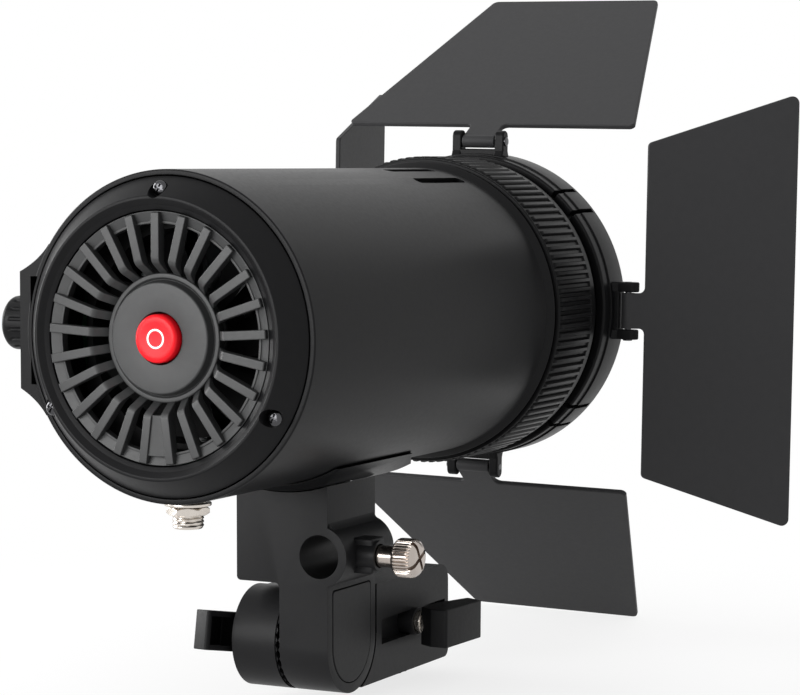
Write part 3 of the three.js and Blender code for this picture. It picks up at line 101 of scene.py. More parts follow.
# Head: tube, bezel and rings, as radii, lengths and places along the light axis. The focus ring's lands rise over
# the run-out's length, and the leaves' ring is rolled by a degree.
barrel_radius = 44
barrel_bore = 42.5
barrel_length = 146.4
flange_radius = 46.4
flange_end = 148.4
gap = 0.3
tilt_place = np.array([75.4, -91.0])
tilt_radius = 14.65
ring_bore = 45.3
run_out = 1.2
ring_roll = 1.0
hinge_radius = 52.5
hinge_y = 190.7
ear_half = 9.05

# Places on the barrel's wall: power inlet along y, and the knob and its button as (y, z).
jack_y = 10
knob_centre = (15, 1.7)
button_centre = (76, 1.7)

# Radii of clearance holes: for the 6 mm screws and the knob's stub, and for the inlet's thread.
screw_hole = 3.3
inlet_hole = 4.7


# ---- Outlines and solids


def rounded(corners, steps=ARC_STEPS):
    """A closed outline through corners (a, b, radius). Each corner is the arc that touches both of its sides:
    its centre lies on the bisector, radius / sin(half the corner's angle) from the corner."""
    table = np.array([(*corner, 0)[:3] for corner in corners], float)
    here, radius = table[:, :2], table[:, 2:]
    before = np.roll(here, 1, 0) - here
    after = np.roll(here, -1, 0) - here
    before /= np.linalg.norm(before, axis=1, keepdims=True)
    after /= np.linalg.norm(after, axis=1, keepdims=True)
    half = np.arccos(np.clip((before * after).sum(1, keepdims=True), -1, 1)) / 2
    bisector = before + after
    length = np.linalg.norm(bisector, axis=1, keepdims=True)
    bisector = np.divide(bisector, length, out=np.zeros_like(bisector), where=length > 1e-9)
    centre = here + bisector * radius / np.sin(half)
    start = here + before * radius / np.tan(half) - centre
    end = here + after * radius / np.tan(half) - centre
    first = np.arctan2(start[:, 1], start[:, 0])[:, None]
    turn = np.arctan2(end[:, 1], end[:, 0])[:, None] - first
    turn = (turn + np.pi) % (2 * np.pi) - np.pi
    angle = first + turn * np.linspace(0, 1, steps + 1)
    arcs = centre[:, None] + radius[:, None] * compass(angle)
    points = np.where(radius[:, None] > 0, arcs, here[:, None]).reshape(-1, 2)
    keep = np.linalg.norm(points - np.roll(points, 1, 0), axis=1) > 1e-6
    return points[keep]


def curve(start, middle, end):
    """Quadratic curve: at t it is (1 - t)^2 start + 2 t (1 - t) middle + t^2 end."""
    t = np.linspace(0, 1, CURVE_STEPS)[:, None]
    return (1 - t) ** 2 * np.array(start) + 2 * t * (1 - t) * np.array(middle) + t**2 * np.array(end)


def compass(angle):
    """Points one millimetre from the centre, at angles from the first axis towards the second."""
    return np.stack([np.cos(angle), np.sin(angle)], -1)


def circle(centre, radius, sides=PART_SIDES):
    """Round outline about a centre."""
    return np.array(centre) + radius * compass(np.arange(sides) * 2 * np.pi / sides)


def ripple(angle, count):
    """Triangle wave of the angle with a count of repeats: 1 at each repeat's ends, 0 at its middle."""
    return np.abs(((angle * count / (2 * np.pi)) % 1) - 0.5) * 2


def grid_faces(rows, columns, closed_rows):
    """Quads of a grid whose columns close on themselves, and whose rows do so where asked."""
    index = np.arange(rows * columns).reshape(rows, columns)
    if closed_rows:
        index = np.vstack([index, index[:1]])
    low, high = index[:-1], index[1:]
    quads = np.stack([low, np.roll(low, -1, 1), np.roll(high, -1, 1), high], -1)
    return quads.reshape(-1, 4).tolist()


def skin(grid, closed_rows=False):
    """Solid from an array of rings of points. Open ends are closed by a flat face each."""
    rows, columns = grid.shape[:2]
    faces = grid_faces(rows, columns, closed_rows)
    if not closed_rows:
        faces.append(list(range(columns)))
        faces.append(list(range((rows - 1) * columns, rows * columns)))
    return grid.reshape(-1, 3), faces


def rectangle(low, high, corner=0.0):
    """Outline of a rectangle between two points, its corners rounded."""
    (u0, v0), (u1, v1) = low, high
    return rounded([(u0, v0, corner), (u1, v0, corner), (u1, v1, corner), (u0, v1, corner)])


def lathe(outline, sides=RING_SIDES, bulge=None):
    """Revolved solid about the y axis. The outline is a loop of (radius, y): a point goes to
    (radius cos a, y, radius sin a). Bulge, where given, is added to the radius, row by column."""
    outline = np.array(outline, float)
    angle = np.arange(sides) * 2 * np.pi / sides
    radius = np.repeat(outline[:, :1], sides, 1)
    if bulge is not None:
        radius = radius + bulge(outline, angle)
    level = np.repeat(outline[:, 1:2], sides, 1)
    grid = np.stack([radius * np.cos(angle), level, radius * np.sin(angle)], -1)
    on_axis = outline[0, 0] == 0 and outline[-1, 0] == 0
    return grid.reshape(-1, 3), grid_faces(len(outline), sides, not on_axis)


def revolved(corners, sides=RING_SIDES):
    """Revolved solid about the y axis of an outline with rounded corners."""
    return lathe(rounded(corners), sides)


# For each axis that a prism runs along, where its outline's two coordinates and its length go.
AXES = {"x": (1, 2, 0), "y": (0, 2, 1), "z": (0, 1, 2)}


def prism(axis, outline, low, high, edge=0.0):
    """Outline pushed along an axis. Its two coordinates are the other axes in order. Its end edges are
    quarter rounds: a ring at angle t lies edge (1 - sin t) inside the outline and edge (1 - cos t) from the end."""
    outline = np.array(outline, float)
    along = np.roll(outline, -1, 0) - outline
    along /= np.linalg.norm(along, axis=1, keepdims=True)
    side = np.stack([along[:, 1], -along[:, 0]], -1)
    twice_area = (outline[:, 0] * np.roll(outline[:, 1], -1) - outline[:, 1] * np.roll(outline[:, 0], -1)).sum()
    side *= np.sign(twice_area)
    before = np.roll(side, 1, 0)
    outward = (side + before) / (1 + (side * before).sum(1, keepdims=True))
    if edge > 0:
        turn = np.linspace(0, np.pi / 2, EDGE_STEPS + 1)
        inset = np.concatenate([[1.25 * edge], edge * (1 - np.sin(turn)), [0]])
        depth = np.concatenate([[0], edge * (1 - np.cos(turn)), [1.5 * edge]])
    else:
        inset, depth = np.zeros(1), np.zeros(1)
    levels = np.concatenate([low + depth, high - depth[::-1]])
    insets = np.concatenate([inset, inset[::-1]])
    flat = outline - outward * insets[:, None, None]
    full = np.concatenate([flat, np.broadcast_to(levels[:, None, None], (*flat.shape[:2], 1))], -1)
    grid = np.empty_like(full)
    for source, target in enumerate(AXES[axis]):
        grid[..., target] = full[..., source]
    return skin(grid)


def rod(axis, radius, low, high, centre=(0, 0), edge=0.0, sides=PART_SIDES):
    """Round bar along an axis, with rounded end edges."""
    return prism(axis, circle(centre, radius, sides), low, high, edge)


def drill(axis, radius, low, high, centre=(0, 0)):
    """Thin plain bar, mostly the cutter of a hole."""
    return rod(axis, radius, low, high, centre, sides=SMALL_SIDES)


def block(low, high, edge=0.0):
    """Box between two corners, its upright edges as round as its end edges."""
    return prism("z", rectangle(low[:2], high[:2], edge), low[2], high[2], edge)


def gather(*solids):
    """Several solids as one list of points and faces."""
    points, faces, start = [], [], 0
    for solid_points, solid_faces in solids:
        points.append(solid_points)
        faces += [[corner + start for corner in face] for face in solid_faces]
        start += len(solid_points)
    return np.concatenate(points), faces


def moved(solid, matrix):
    """A solid carried by a 4 x 4 matrix."""
    points, faces = solid
    matrix = np.array(matrix)
    return points @ matrix[:3, :3].T + matrix[:3, 3], faces


def spin(degrees, axis="Y"):
    """Turn about an axis through the zero point."""
    return Matrix.Rotation(np.radians(degrees), 4, axis)


def turned(solid, degrees, axis="Y", centre=(0, 0, 0)):
    """A solid turned about a line along an axis through a centre."""
    place = Matrix.Translation(centre)
    return moved(solid, place @ spin(degrees, axis) @ place.inverted())


def along_x(solid, centre=(0, 0), start=0, way=1):
    """A solid of revolution about y laid on a line along x at (y, z), from a start towards +x or -x."""
    return moved(turned(solid, -90 * way, "Z"), Matrix.Translation((start, *centre)))


def cross(axis, arm, blade, low, high, degrees, centre=(0, 0)):
    """Two crossed bars along an axis, turned about it: the cutters of a cross recess."""
    centre = np.array(centre)
    halves = np.array([(arm, blade), (blade, arm)])
    bars = [prism(axis, rectangle(centre - half, centre + half), low, high) for half in halves]
    pivot = np.insert(centre.astype(float), "xyz".index(axis), 0)
    return [turned(bar, degrees, axis.upper(), pivot) for bar in bars]


def around(solid, count, start=0.0):
    """Copies of a solid, evenly turned about the light axis from a start angle."""
    return gather(*[turned(solid, start + i * 360 / count) for i in range(count)])


def mesh_of(solid, name="solid"):
    """Blender mesh of a solid: poles and seams merged and faces turned outwards."""
    points, faces = solid
    mesh = bpy.data.meshes.new(name)
    mesh.from_pydata(np.asarray(points).tolist(), [], faces)
    shape = bmesh.new()
    shape.from_mesh(mesh)
    bmesh.ops.remove_doubles(shape, verts=shape.verts, dist=1e-4)
    bmesh.ops.recalc_face_normals(shape, faces=shape.faces)
    shape.to_mesh(mesh)
    shape.free()
    return mesh


def object_of(data):
    """A linked object that shows a mesh, a lamp or a camera."""
    thing = bpy.data.objects.new(data.name, data)
    bpy.context.scene.collection.objects.link(thing)
    return thing


def softened(mesh):
    """All faces smooth, with an edge kept sharp where the surface turns there."""
    mesh.shade_smooth()
    mesh.set_sharp_from_angle(angle=np.radians(SHARP_DEGREES))
    return mesh


def smooth_mesh(solid, name="solid"):
    """Smooth mesh of a solid that needs no carving."""
    return softened(mesh_of(solid, name))


def carved(solid, joins=(), limits=(), cuts=(), bevel=0.0, segments=2):
    """Mesh of a solid after other solids are joined to it, cut to the room they share with it, and cut out of it,
    with its sharp edges rounded."""
    body = object_of(mesh_of(solid))
    helpers = []
    for operation, tools in (("UNION", joins), ("INTERSECT", limits), ("DIFFERENCE", cuts)):
        for tool in tools:
            helper = object_of(mesh_of(tool))
            helpers.append(helper)
            step = body.modifiers.new(operation, "BOOLEAN")
            step.operation = operation
            step.object = helper
            step.solver = "MANIFOLD"
    mesh = applied(body)
    if bevel > 0:
        body.modifiers.clear()
        body.data = softened(mesh)
        rounding = body.modifiers.new("edges", "BEVEL")
        rounding.width = bevel
        rounding.segments = segments
        rounding.limit_method = "ANGLE"
        rounding.angle_limit = np.radians(SHARP_DEGREES)
        rounding.harden_normals = True
        mesh = applied(body)
    for thing in [body, *helpers]:
        bpy.data.objects.remove(thing)
    return mesh if bevel > 0 else softened(mesh)


def applied(thing):
    """The mesh of an object with its modifiers worked in."""
    graph = bpy.context.evaluated_depsgraph_get()
    return bpy.data.meshes.new_from_object(thing.evaluated_get(graph))


def piece(name, shape, body, finish, covers=(), origin=HEAD):
    """A visible piece: its mesh goes to metres in the row's frame, and it rides on a CAD body. It stands for the
    nodes that it covers. Its one material is its finish's."""
    mesh = shape if isinstance(shape, bpy.types.Mesh) else smooth_mesh(shape, name)
    mesh.name = name
    mesh.transform(Matrix.Translation(origin * MM) @ Matrix.Scale(MM, 4))
    mesh.materials.clear()
    mesh.materials.append(finishes[finish])
    thing = object_of(mesh)
    thing.name = name
    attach(thing, body)
    if covers:
        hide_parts(*covers)
    return thing


# ---- Materials


def linear(code):
    """Linear colour from an sRGB hex code: the standard curve, channel by channel."""
    channels = np.array([int(code[i : i + 2], 16) for i in (1, 3, 5)]) / 255
    bright = ((channels + 0.055) / 1.055) ** 2.4
    return (*np.where(channels <= 0.04045, channels / 12.92, bright), 1.0)


def add(tree, kind, links=None, **settings):
    """One node with its settings, and a value or another node's output on each named input."""
    node = tree.nodes.new(kind)
    for key, value in settings.items():
        setattr(node, key, value)
    for key, value in (links or {}).items():
        socket = node.inputs[key]
        if isinstance(value, bpy.types.NodeSocket):
            tree.links.new(value, socket)
        else:
            socket.default_value = value
    return node


def surface(name, **constants):
    """A material with its shader and the coordinates that its patterns read."""
    material = bpy.data.materials.new(name)
    material.use_nodes = True
    tree = material.node_tree
    shader = tree.nodes["Principled BSDF"]
    for key, value in constants.items():
        shader.inputs[key.replace("_", " ")].default_value = value
    place = add(tree, "ShaderNodeTexCoord").outputs["Object"]
    return material, tree, shader, place


def noise(tree, place, size, detail):
    """Noise that repeats about every so many millimetres."""
    pattern = {"Vector": place, "Scale": 1 / (size * MM), "Detail": detail}
    return add(tree, "ShaderNodeTexNoise", pattern).outputs["Fac"]


def varied(tree, place, low, high, size):
    """A colour or a number that drifts between two values over patches of a size in millimetres."""
    drift = noise(tree, place, size, 3.0)
    if isinstance(low, str):
        mix = add(tree, "ShaderNodeMix", {0: drift, 6: linear(low), 7: linear(high)}, data_type="RGBA")
        return mix.outputs[2]
    spread = {"Value": drift, "From Min": 0.3, "From Max": 0.7, "To Min": low, "To Max": high}
    return add(tree, "ShaderNodeMapRange", spread).outputs["Result"]


def relief(tree, place, shader, size, depth):
    """Surface grain: a noise of one size in millimetres, as high as the depth in millimetres."""
    bump = {"Height": noise(tree, place, size, 2.0), "Distance": depth * MM, "Strength": 1.0}
    tree.links.new(add(tree, "ShaderNodeBump", bump).outputs["Normal"], shader.inputs["Normal"])


def moulded(name, dark, light, roughness, grain, depth, index, specular=0.5, **constants):
    """Moulded plastic or paint: small patches of slightly different tone and gloss, under a fine grain."""
    patch, gloss_patch, gloss_drift = 2.5, 1.2, 0.025
    material, tree, shader, place = surface(name, IOR=index, Specular_IOR_Level=specular, **constants)
    tree.links.new(varied(tree, place, dark, light, patch), shader.inputs["Base Color"])
    gloss = varied(tree, place, roughness - gloss_drift, roughness + gloss_drift, gloss_patch)
    tree.links.new(gloss, shader.inputs["Roughness"])
    relief(tree, place, shader, grain, depth)
    return material


def plated(name, colour, roughness, depth=0.004, size=1.5):
    """Bright metal: a clean mirror with faint waves in its polish and a little haze that comes and goes."""
    material, tree, shader, place = surface(name, Metallic=1.0, Base_Color=linear(colour))
    tree.links.new(varied(tree, place, roughness * 0.8, roughness * 1.3, 3.0), shader.inputs["Roughness"])
    relief(tree, place, shader, size, depth)
    return material


def lens_material():
    """Moulded optical glass: clear, with very faint waves left by the mould."""
    glass = {"Transmission_Weight": 1.0, "IOR": 1.52, "Roughness": 0.02, "Base_Color": linear("#f4fbfa")}
    material, tree, shader, place = surface("pressed borosilicate glass", **glass)
    tree.links.new(varied(tree, place, "#f1faf8", "#f8fdfc", 20.0), shader.inputs["Base Color"])
    relief(tree, place, shader, 9.0, 0.01)
    return material


finishes = {
    # Injection-moulded ABS with a fine satin grain: black face on, with highlights only where the light grazes it.
    "housing_abs": moulded("satin black ABS", "#0e0e0f", "#121213", 0.36, 0.35, 0.004, 1.53, 0.1),
    # The same ABS in charcoal, with a coarser grain that takes the light evenly.
    "grille_abs": moulded("charcoal ABS", "#212122", "#292a2a", 0.48, 0.45, 0.014, 1.53, 0.4),
    # Nylon rings: nearly smooth, so the knurl's lands catch short highlights.
    "ring_nylon": moulded("black nylon 66", "#0a0a0b", "#0e0e0f", 0.36, 0.45, 0.006, 1.53, 0.08),
    # Glass-filled nylon castings: short fibres near the skin leave a faint mottle.
    "bracket_nylon": moulded("glass filled nylon", "#131314", "#171718", 0.42, 0.9, 0.012, 1.54, 0.12),
    "lever_nylon": moulded("lever nylon", "#0d0d0e", "#111112", 0.5, 0.7, 0.012, 1.54, 0.1),
    # Fan mouldings: plain dull PBT.
    "fan_plastic": moulded("black PBT", "#060607", "#080809", 0.5, 0.8, 0.006, 1.55, 0.2),
    # Powder coat on sheet steel: a fine orange peel, drawn a little coarse so that it shows.
    "leaf_metal": moulded("grey powder coat", "#2c2c2d", "#303031", 0.5, 0.7, 0.008, 1.5, 0.12),
    # Gloss ABS of the rocker, with a faint sink mark that bends its highlight.
    "red_switch": moulded("gloss red ABS", "#c80c18", "#d2121e", 0.25, 3.0, 0.02, 1.53, 0.15),
    # Pad-printed white ink.
    "white_ink": moulded("white pad print", "#f2f0ee", "#fbfaf8", 0.45, 0.4, 0.002, 1.5),
    # Acrylic fascia and the tinted window of the display: polished sheets.
    "panel_acrylic": moulded("gloss black acrylic", "#0c0c0d", "#101011", 0.12, 6.0, 0.002, 1.49),
    "display_glass": moulded("smoked polycarbonate", "#08090a", "#0d0e10", 0.08, 6.0, 0.001, 1.58),
    # Solder mask over copper, and the emitter's phosphor under clear silicone.
    "circuit_board": moulded("green solder mask", "#12452b", "#185636", 0.3, 1.2, 0.01, 1.55),
    "phosphor": moulded("phosphor silicone", "#e0b42c", "#ecc648", 0.35, 0.3, 0.01, 1.41, Coat_Weight=0.5),
    # Metals, each as it was finished.
    "nickel": plated("nickel plated brass", "#cfc8c0", 0.22),
    "chrome": plated("chromed steel", "#b3aaa3", 0.2),
    "zinc_steel": plated("zinc plated steel", "#b9bbbd", 0.32, 0.008),
    "brass": plated("turned brass", "#c9a560", 0.3),
    "aluminium": plated("extruded aluminium", "#c3c5c7", 0.38, 0.01),
    "reflector_metal": plated("vacuum metallised reflector", "#e8e9ea", 0.08, 0.03, 2.0),
    "black_screw": plated("black oxide steel", "#4a4a4c", 0.2, 0.006),
    "lens_glass": lens_material(),
}

# CAD nodes whose own shape is right: each takes its real finish.
node_finishes = {
    "tilt_nut": "zinc_steel",
    "tilt_bolt": "zinc_steel",
    "clamp_shoe": "brass",
    "umbrella_pad": "brass",
    "driver_board": "circuit_board",
    "heat_sink": "aluminium",
    "led_board": "aluminium",
    "led_chip": "phosphor",
}
for node_name, node_finish in node_finishes.items():
    for node_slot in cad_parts[node_name].material_slots:
        node_slot.material = finishes[node_finish]


# ---- Barrel and bezel


bezel_angles = (90, -30, -150)
bezel_pitch_radius = 39
flat_top = 16.5
flat_bottom = -15
flat_length = 100
flat_slope = 5


def flank(foot_degrees, edge):
    """Hollow flank of the control side, from a foot on the round wall to an edge of the flat: a quadratic curve
    whose middle is drawn in to just outside the wall."""
    foot = barrel_radius * compass(np.radians(foot_degrees))
    middle = (foot + edge) / 2
    middle *= (barrel_radius + 0.6) / np.linalg.norm(middle)
    return curve(foot, middle, edge)


def barrel_mesh():
    """Tube with a flared front rim, the flat control side with its rear pocket, and four cooling slots."""
    shell = revolved([
        (barrel_bore, 0, 0.2), (barrel_radius, 0, 0.5), (barrel_radius, barrel_length, 0.4),
        (flange_radius, flange_end, 0.3), (barrel_bore, flange_end, 0.2),
    ])
    flat_x, past = in_head("barrel")[0][0], flat_length + 1
    inside_x, inset = flat_x + 12, 3
    section = np.concatenate([
        flank(147, (flat_x, flat_top)),
        flank(210, (flat_x, flat_bottom))[::-1],
        [(inside_x, flat_bottom + inset), (inside_x, flat_top - inset)],
    ])
    side = prism("y", section, 0.1, flat_length)
    core = rod("y", barrel_bore + 0.2, -1, past, sides=RING_SIDES)
    nose = prism("z", [(flat_x - 1, flat_length - flat_slope), (-barrel_bore, past), (flat_x - 1, past)], -40, 40)
    pocket_x, pocket_depth, margin = flat_x + 3.4, 2.5, 1.2
    pocket = solid_of(carved(
        block((pocket_x, -1, flat_bottom + margin), (pocket_x + pocket_depth, 3, flat_top - margin), 0.3),
        cuts=[rod("y", barrel_radius - 0.75, -2, 5, sides=RING_SIDES)],
    ))
    low, high = in_head("control_plate")
    seat = block((flat_x - 1, low[1] - gap, low[2] - gap), (flat_x + 1, high[1] + gap, high[2] + gap))
    press_room = in_head("mode_button")[1][0] + 0.75
    knob_hole = drill("x", screw_hole, flat_x - 1, flat_x + 2.3, knob_centre)
    button_hole = drill("x", 4.1, flat_x - 1, press_room, button_centre)
    jack_hole = drill("z", inlet_hole, -46, -36.5, (0, jack_y))
    side_mesh = carved(side, cuts=[core, nose, pocket, seat, knob_hole, button_hole], bevel=0.5, segments=3)
    return merged(carved(shell, cuts=[*vents(), jack_hole, pocket, knob_hole, button_hole]), side_mesh)


def vents():
    """Cutters for the cooling slots: rounded bars square to the tube's wall."""
    start, length, half, corner, past = 111, 31, 1.8, 1.6, 3
    slot = rectangle((-half, start), (half, start + length), corner)
    bar = prism("z", slot, barrel_bore - past, barrel_radius + past)
    return [turned(bar, degrees - 90) for degrees in (66.5, 80, 100, 113.5)]


def solid_of(mesh):
    """Points and faces of a Blender mesh."""
    points = np.empty(len(mesh.vertices) * 3)
    mesh.vertices.foreach_get("co", points)
    return points.reshape(-1, 3), [list(face.vertices) for face in mesh.polygons]


def merged(*meshes):
    """Several meshes as one, each with its own shading kept."""
    things = [object_of(mesh) for mesh in meshes]
    with bpy.context.temp_override(active_object=things[0], selected_editable_objects=things):
        bpy.ops.object.join()
    mesh = things[0].data
    bpy.data.objects.remove(things[0])
    return mesh


def bezel_mesh():
    """Conical ring: spigot, cone, rounded nose and the dished inner wall, with three screw pockets."""
    ring = revolved([
        (42.2, 8, 0.3), (39.6, 8, 0.3), (39.6, 0, 0.5), (33.5, -1.4), (33.5, -4.9, 0.25),
        (34.8, -5.45, 0.8), (36.3, -6.7, 0.5), (37.1, -6.7, 0.6), (42.2, -0.05, 0.3),
    ])
    pockets = [drill("y", 2.5, -9, -2.6, bezel_spot(degrees)) for degrees in bezel_angles]
    jack_room = block((-5.9, 0.3, -44), (5.9, 9, -37))
    return carved(ring, cuts=[*pockets, jack_room], bevel=0.2)


def bezel_spot(degrees):
    """Place (x, z) on the bezel's screw circle, at an angle from +x towards +z."""
    return bezel_pitch_radius * compass(np.radians(degrees))


def bezel_screw_mesh(node, degrees):
    """Pan-head screw with a cross recess: a domed head on a plain shank."""
    rear, head, shank = axial(node)[0], 2.1, 1.05
    dome = [(0, 0), (0.9, 0.02), (1.6, 0.2), (2.0, 0.6), (head, 1.0)]
    outline = np.array([*dome, (head, 1.4), (shank, 1.4), (shank, 6.2), (0, 6.4)]) + (0, rear)
    x, z = bezel_spot(degrees)
    place = Matrix.Translation((x, 0, z))
    bars = cross("y", 1.35, 0.28, rear - 1, rear + 0.75, 25)
    return carved(moved(lathe(outline, SMALL_SIDES), place), cuts=[moved(bar, place) for bar in bars], bevel=0.07)


piece("barrel_shell", barrel_mesh(), "head", "housing_abs", ["barrel"])
piece("rear_bezel_ring", bezel_mesh(), "head", "housing_abs", ["rear_bezel"])
for number, degrees in enumerate(bezel_angles, 1):
    screw = f"bezel_screw_{number}"
    piece(f"bezel_screw_head_{number}", bezel_screw_mesh(screw, degrees), "head", "black_screw", [screw])


# ---- Cooling grille and switch

rib_count = 25
rib_width = 2.4
rib_rear = -6.0
rib_front = -3.0
rib_bend = 20
rib_end = 32.9
hub_radius = 17
hub_face = -4.0
hub_step = -1.4


def rib_solid():
    """One bent rib in side view, pushed across its width with softened edges. Its radius runs along x."""
    root = 14.4
    side = rounded([
        (root, hub_step), (hub_radius - 0.2, hub_step, 0.5), (rib_bend, rib_rear, 2.2), (rib_end, rib_rear, 0.4),
        (rib_end, rib_front, 0.3), (rib_bend, rib_front, 1.4), (root, 0.9),
    ])
    return prism("z", side, -rib_width / 2, rib_width / 2, 0.22)


def grille_solid():
    """Hub, ribs, carrying ring and the filled wedge between the two lowest ribs."""
    hub_front, hub_floor, opening, groove = 1, -2.8, 6.9, -2.0
    hub = revolved([
        (opening, hub_face, 0.2), (14.6, hub_face, 0.6), (15.2, hub_step, 0.1), (15.8, groove, 0.3),
        (hub_radius, groove, 0.4), (hub_radius, hub_front, 0.3), (8.5, hub_front, 0.2), (8.5, hub_floor, 0.1),
        (opening, hub_floor, 0.2),
    ])
    ring = revolved([
        (29.9, -4.2, 0.2), (30.6, -4.2, 0.1), (30.6, -3.9, 0.05),
        (33.2, -4.8, 0.2), (33.2, -1.4, 0.3), (29.9, -1.4, 0.4),
    ])
    half_step = 180 / rib_count
    arc = compass(np.radians(np.linspace(-90 - half_step, -90 + half_step, 9)))
    wedge = np.concatenate([arc * (rib_end - 2.2), arc[::-1] * rib_bend])
    return gather(hub, ring, around(rib_solid(), rib_count, -90), prism("y", wedge, rib_rear + 0.6, rib_front, 0.1))


def switch_lip():
    """Housing of the rocker behind the hub's disc: a cup that opens towards the cap."""
    rear, front, outer = axial("switch_body")
    inner, floor = outer - 1.3, front - 2
    return revolved([
        (0, front), (outer, front, 0.4), (outer, rear, 0.2), (inner, rear, 0.2), (inner, floor, 0.2), (0, floor),
    ], PART_SIDES)


def button_solid():
    """Red cap with a well rounded rim and a face that is dished by a shallow curve."""
    rear, front, outer = axial("power_button")
    radius, dish, flat_share = outer - 0.2, 0.18, 0.78
    steps = np.linspace(0, flat_share, 10)
    face = [(radius * s, rear + dish - dish * (s / flat_share) ** 2) for s in steps]
    rim = rounded([(radius * flat_share, rear), (radius, rear, 1.1), (radius, front, 0.3), (0, front)])[1:]
    return lathe(np.concatenate([face[:-1], rim]), PART_SIDES)


def ink_ring():
    """Printed ring on the cap's face, a film that is just proud of it."""
    rear, outer, stroke = axial("power_button")[0], 2.6, 0.5
    inner, base = outer - stroke, rear + 0.3
    film = [(inner, base), (outer, base), (outer, rear + 0.08, 0.03), (inner, rear + 0.1, 0.03)]
    return lathe(rounded(film, 2), PART_SIDES)


piece("cooling_grille", grille_solid(), "head", "grille_abs", ["rear_grille"])
piece("switch_housing", switch_lip(), "head", "grille_abs", ["switch_body"])
piece("switch_cap", button_solid(), "power_button", "red_switch", ["power_button"])
piece("switch_mark", ink_ring(), "power_button", "white_ink")


# ---- Fan


def fan_frame_mesh():
    """Square frame with a bore, mounting holes, four struts and the motor's base."""
    rear, front, half = axial("fan_frame")
    bore, spacing = 28.6, 25
    plate = prism("y", rectangle((-half, -half), (half, half), 4), rear, front, 0.5)
    spots = [(x, z) for x in (-spacing, spacing) for z in (-spacing, spacing)]
    holes = [drill("y", 2.1, rear - 1, front + 1, spot) for spot in spots]
    strut = block((-bore - 1, front - 1.6, -1.5), (bore + 1, front, 1.5), 0.3)
    return merged(
        carved(plate, cuts=[rod("y", bore, rear - 1, front + 1), *holes], bevel=0.3, segments=3),
        smooth_mesh(gather(turned(strut, 45), turned(strut, -45))),
        smooth_mesh(rod("y", 11, front - 3, front, edge=0.4)),
        smooth_mesh(drill("y", 2, rear + 3.2, front - 0.3)),
    )


def fan_rotor_solid():
    """Motor cup and swept blades. A blade's section is a thin lens shape: at a share t along its chord it lies
    t times the blade's depth along y, leans by its sweep, and is thickest at its middle."""
    rear, front = axial("fan_rotor")[:2]
    radius, bore, floor = 12.5, 2.3, rear + 1.6
    cup = revolved([
        (0, rear), (radius, rear, 1.2), (radius, front, 0.2), (bore, front, 0.2), (bore, floor, 0.2), (0, floor),
    ], PART_SIDES)
    root, tip, steps = 11.8, 27.6, 13
    share = np.linspace(0, 1, steps)
    chord = np.concatenate([share, share[-2:0:-1]])
    face = np.concatenate([np.ones(steps), -np.ones(steps - 2)])
    span = np.linspace(root, tip, 9)[:, None]
    sweep = np.radians(38 - 0.45 * (span - root))
    lean = np.radians(10) * ((span - root) / (tip - root)) ** 2
    thickness = 0.65 * np.sqrt(np.clip(4 * chord * (1 - chord), 0.05, 1))
    angle = (chord - 0.5) * sweep + lean + face * thickness / span
    level = rear + 0.6 + chord * (front - rear - 1.4) + 0.4 * np.sin(np.pi * chord)
    grid = np.broadcast_arrays(span * np.cos(angle), level, span * np.sin(angle))
    return gather(cup, around(skin(np.stack(grid, -1)), 7))


piece("fan_housing", fan_frame_mesh(), "head", "fan_plastic", ["fan_frame"])
piece("fan_impeller", fan_rotor_solid(), "fan_rotor", "fan_plastic", ["fan_rotor"])


# ---- Optics and rings


def reflector_solid():
    """Parabolic cup: its radius grows as the root of the depth, with a flange on its front edge."""
    rear, front, rim = axial("reflector")
    wall, flange = 1.2, 1.6
    share = np.linspace(0, 1, 24) ** 1.5
    radius = 9 + 29 * np.sqrt(share)
    inner = np.stack([radius, rear + share * (front - rear)], -1)
    outer = np.stack([radius + wall, rear + share * (front - rear - flange)], -1)
    return lathe(np.concatenate([outer, [(rim, front - flange), (rim, front)], inner[::-1]]))


def baffle_solid():
    """Thin black tube from the cup's flange to the lens cell, so that no light leaves by the cooling slots."""
    start, end, inner, outer = axial("reflector")[1] + 0.05, barrel_length + 1.2, 39.5, 40.5
    return lathe([(inner, start), (outer, start), (outer, end), (inner, end)])


def front_tube_mesh():
    """Fixed tube with a spigot in the barrel and three slots for the lens cell's keys."""
    rear, front = axial("front_tube")[:2]
    bore, spigot, outer, shoulder = 42, 42.2, 45, 148.7
    tube = revolved([
        (40.5, rear, 0.3), (spigot, rear, 0.3), (spigot, shoulder), (outer, shoulder, 0.2), (outer, front, 0.4),
        (bore, front, 0.4), (bore, shoulder),
    ])
    slot = block((40, 152.4, -2.1), (47, 175.6, 2.1), 0.8)
    return carved(tube, cuts=[turned(slot, -90 + i * 120) for i in range(3)], bevel=0.2)


def lens_cell_mesh():
    """Lens ring with a retaining lip, fine anti-glare steps inside its mouth, and three keys."""
    rear, outer, wall, lip = axial("lens_carrier")[0], 41.7, 3, 1.6
    front, bore = rear + 12, outer - wall
    steps = [(bore - 0.5 * (i % 2), front - 0.6 * i) for i in range(9)]
    ring = [(bore - lip, rear), (outer, rear), (outer, front), *steps, (bore, rear + lip), (bore - lip, rear + lip)]
    key = block((40.2, rear + 4, -1.8), (44.7, rear + 8, 1.8), 0.3)
    return merged(smooth_mesh(lathe(ring)), smooth_mesh(around(key, 3, -90)))


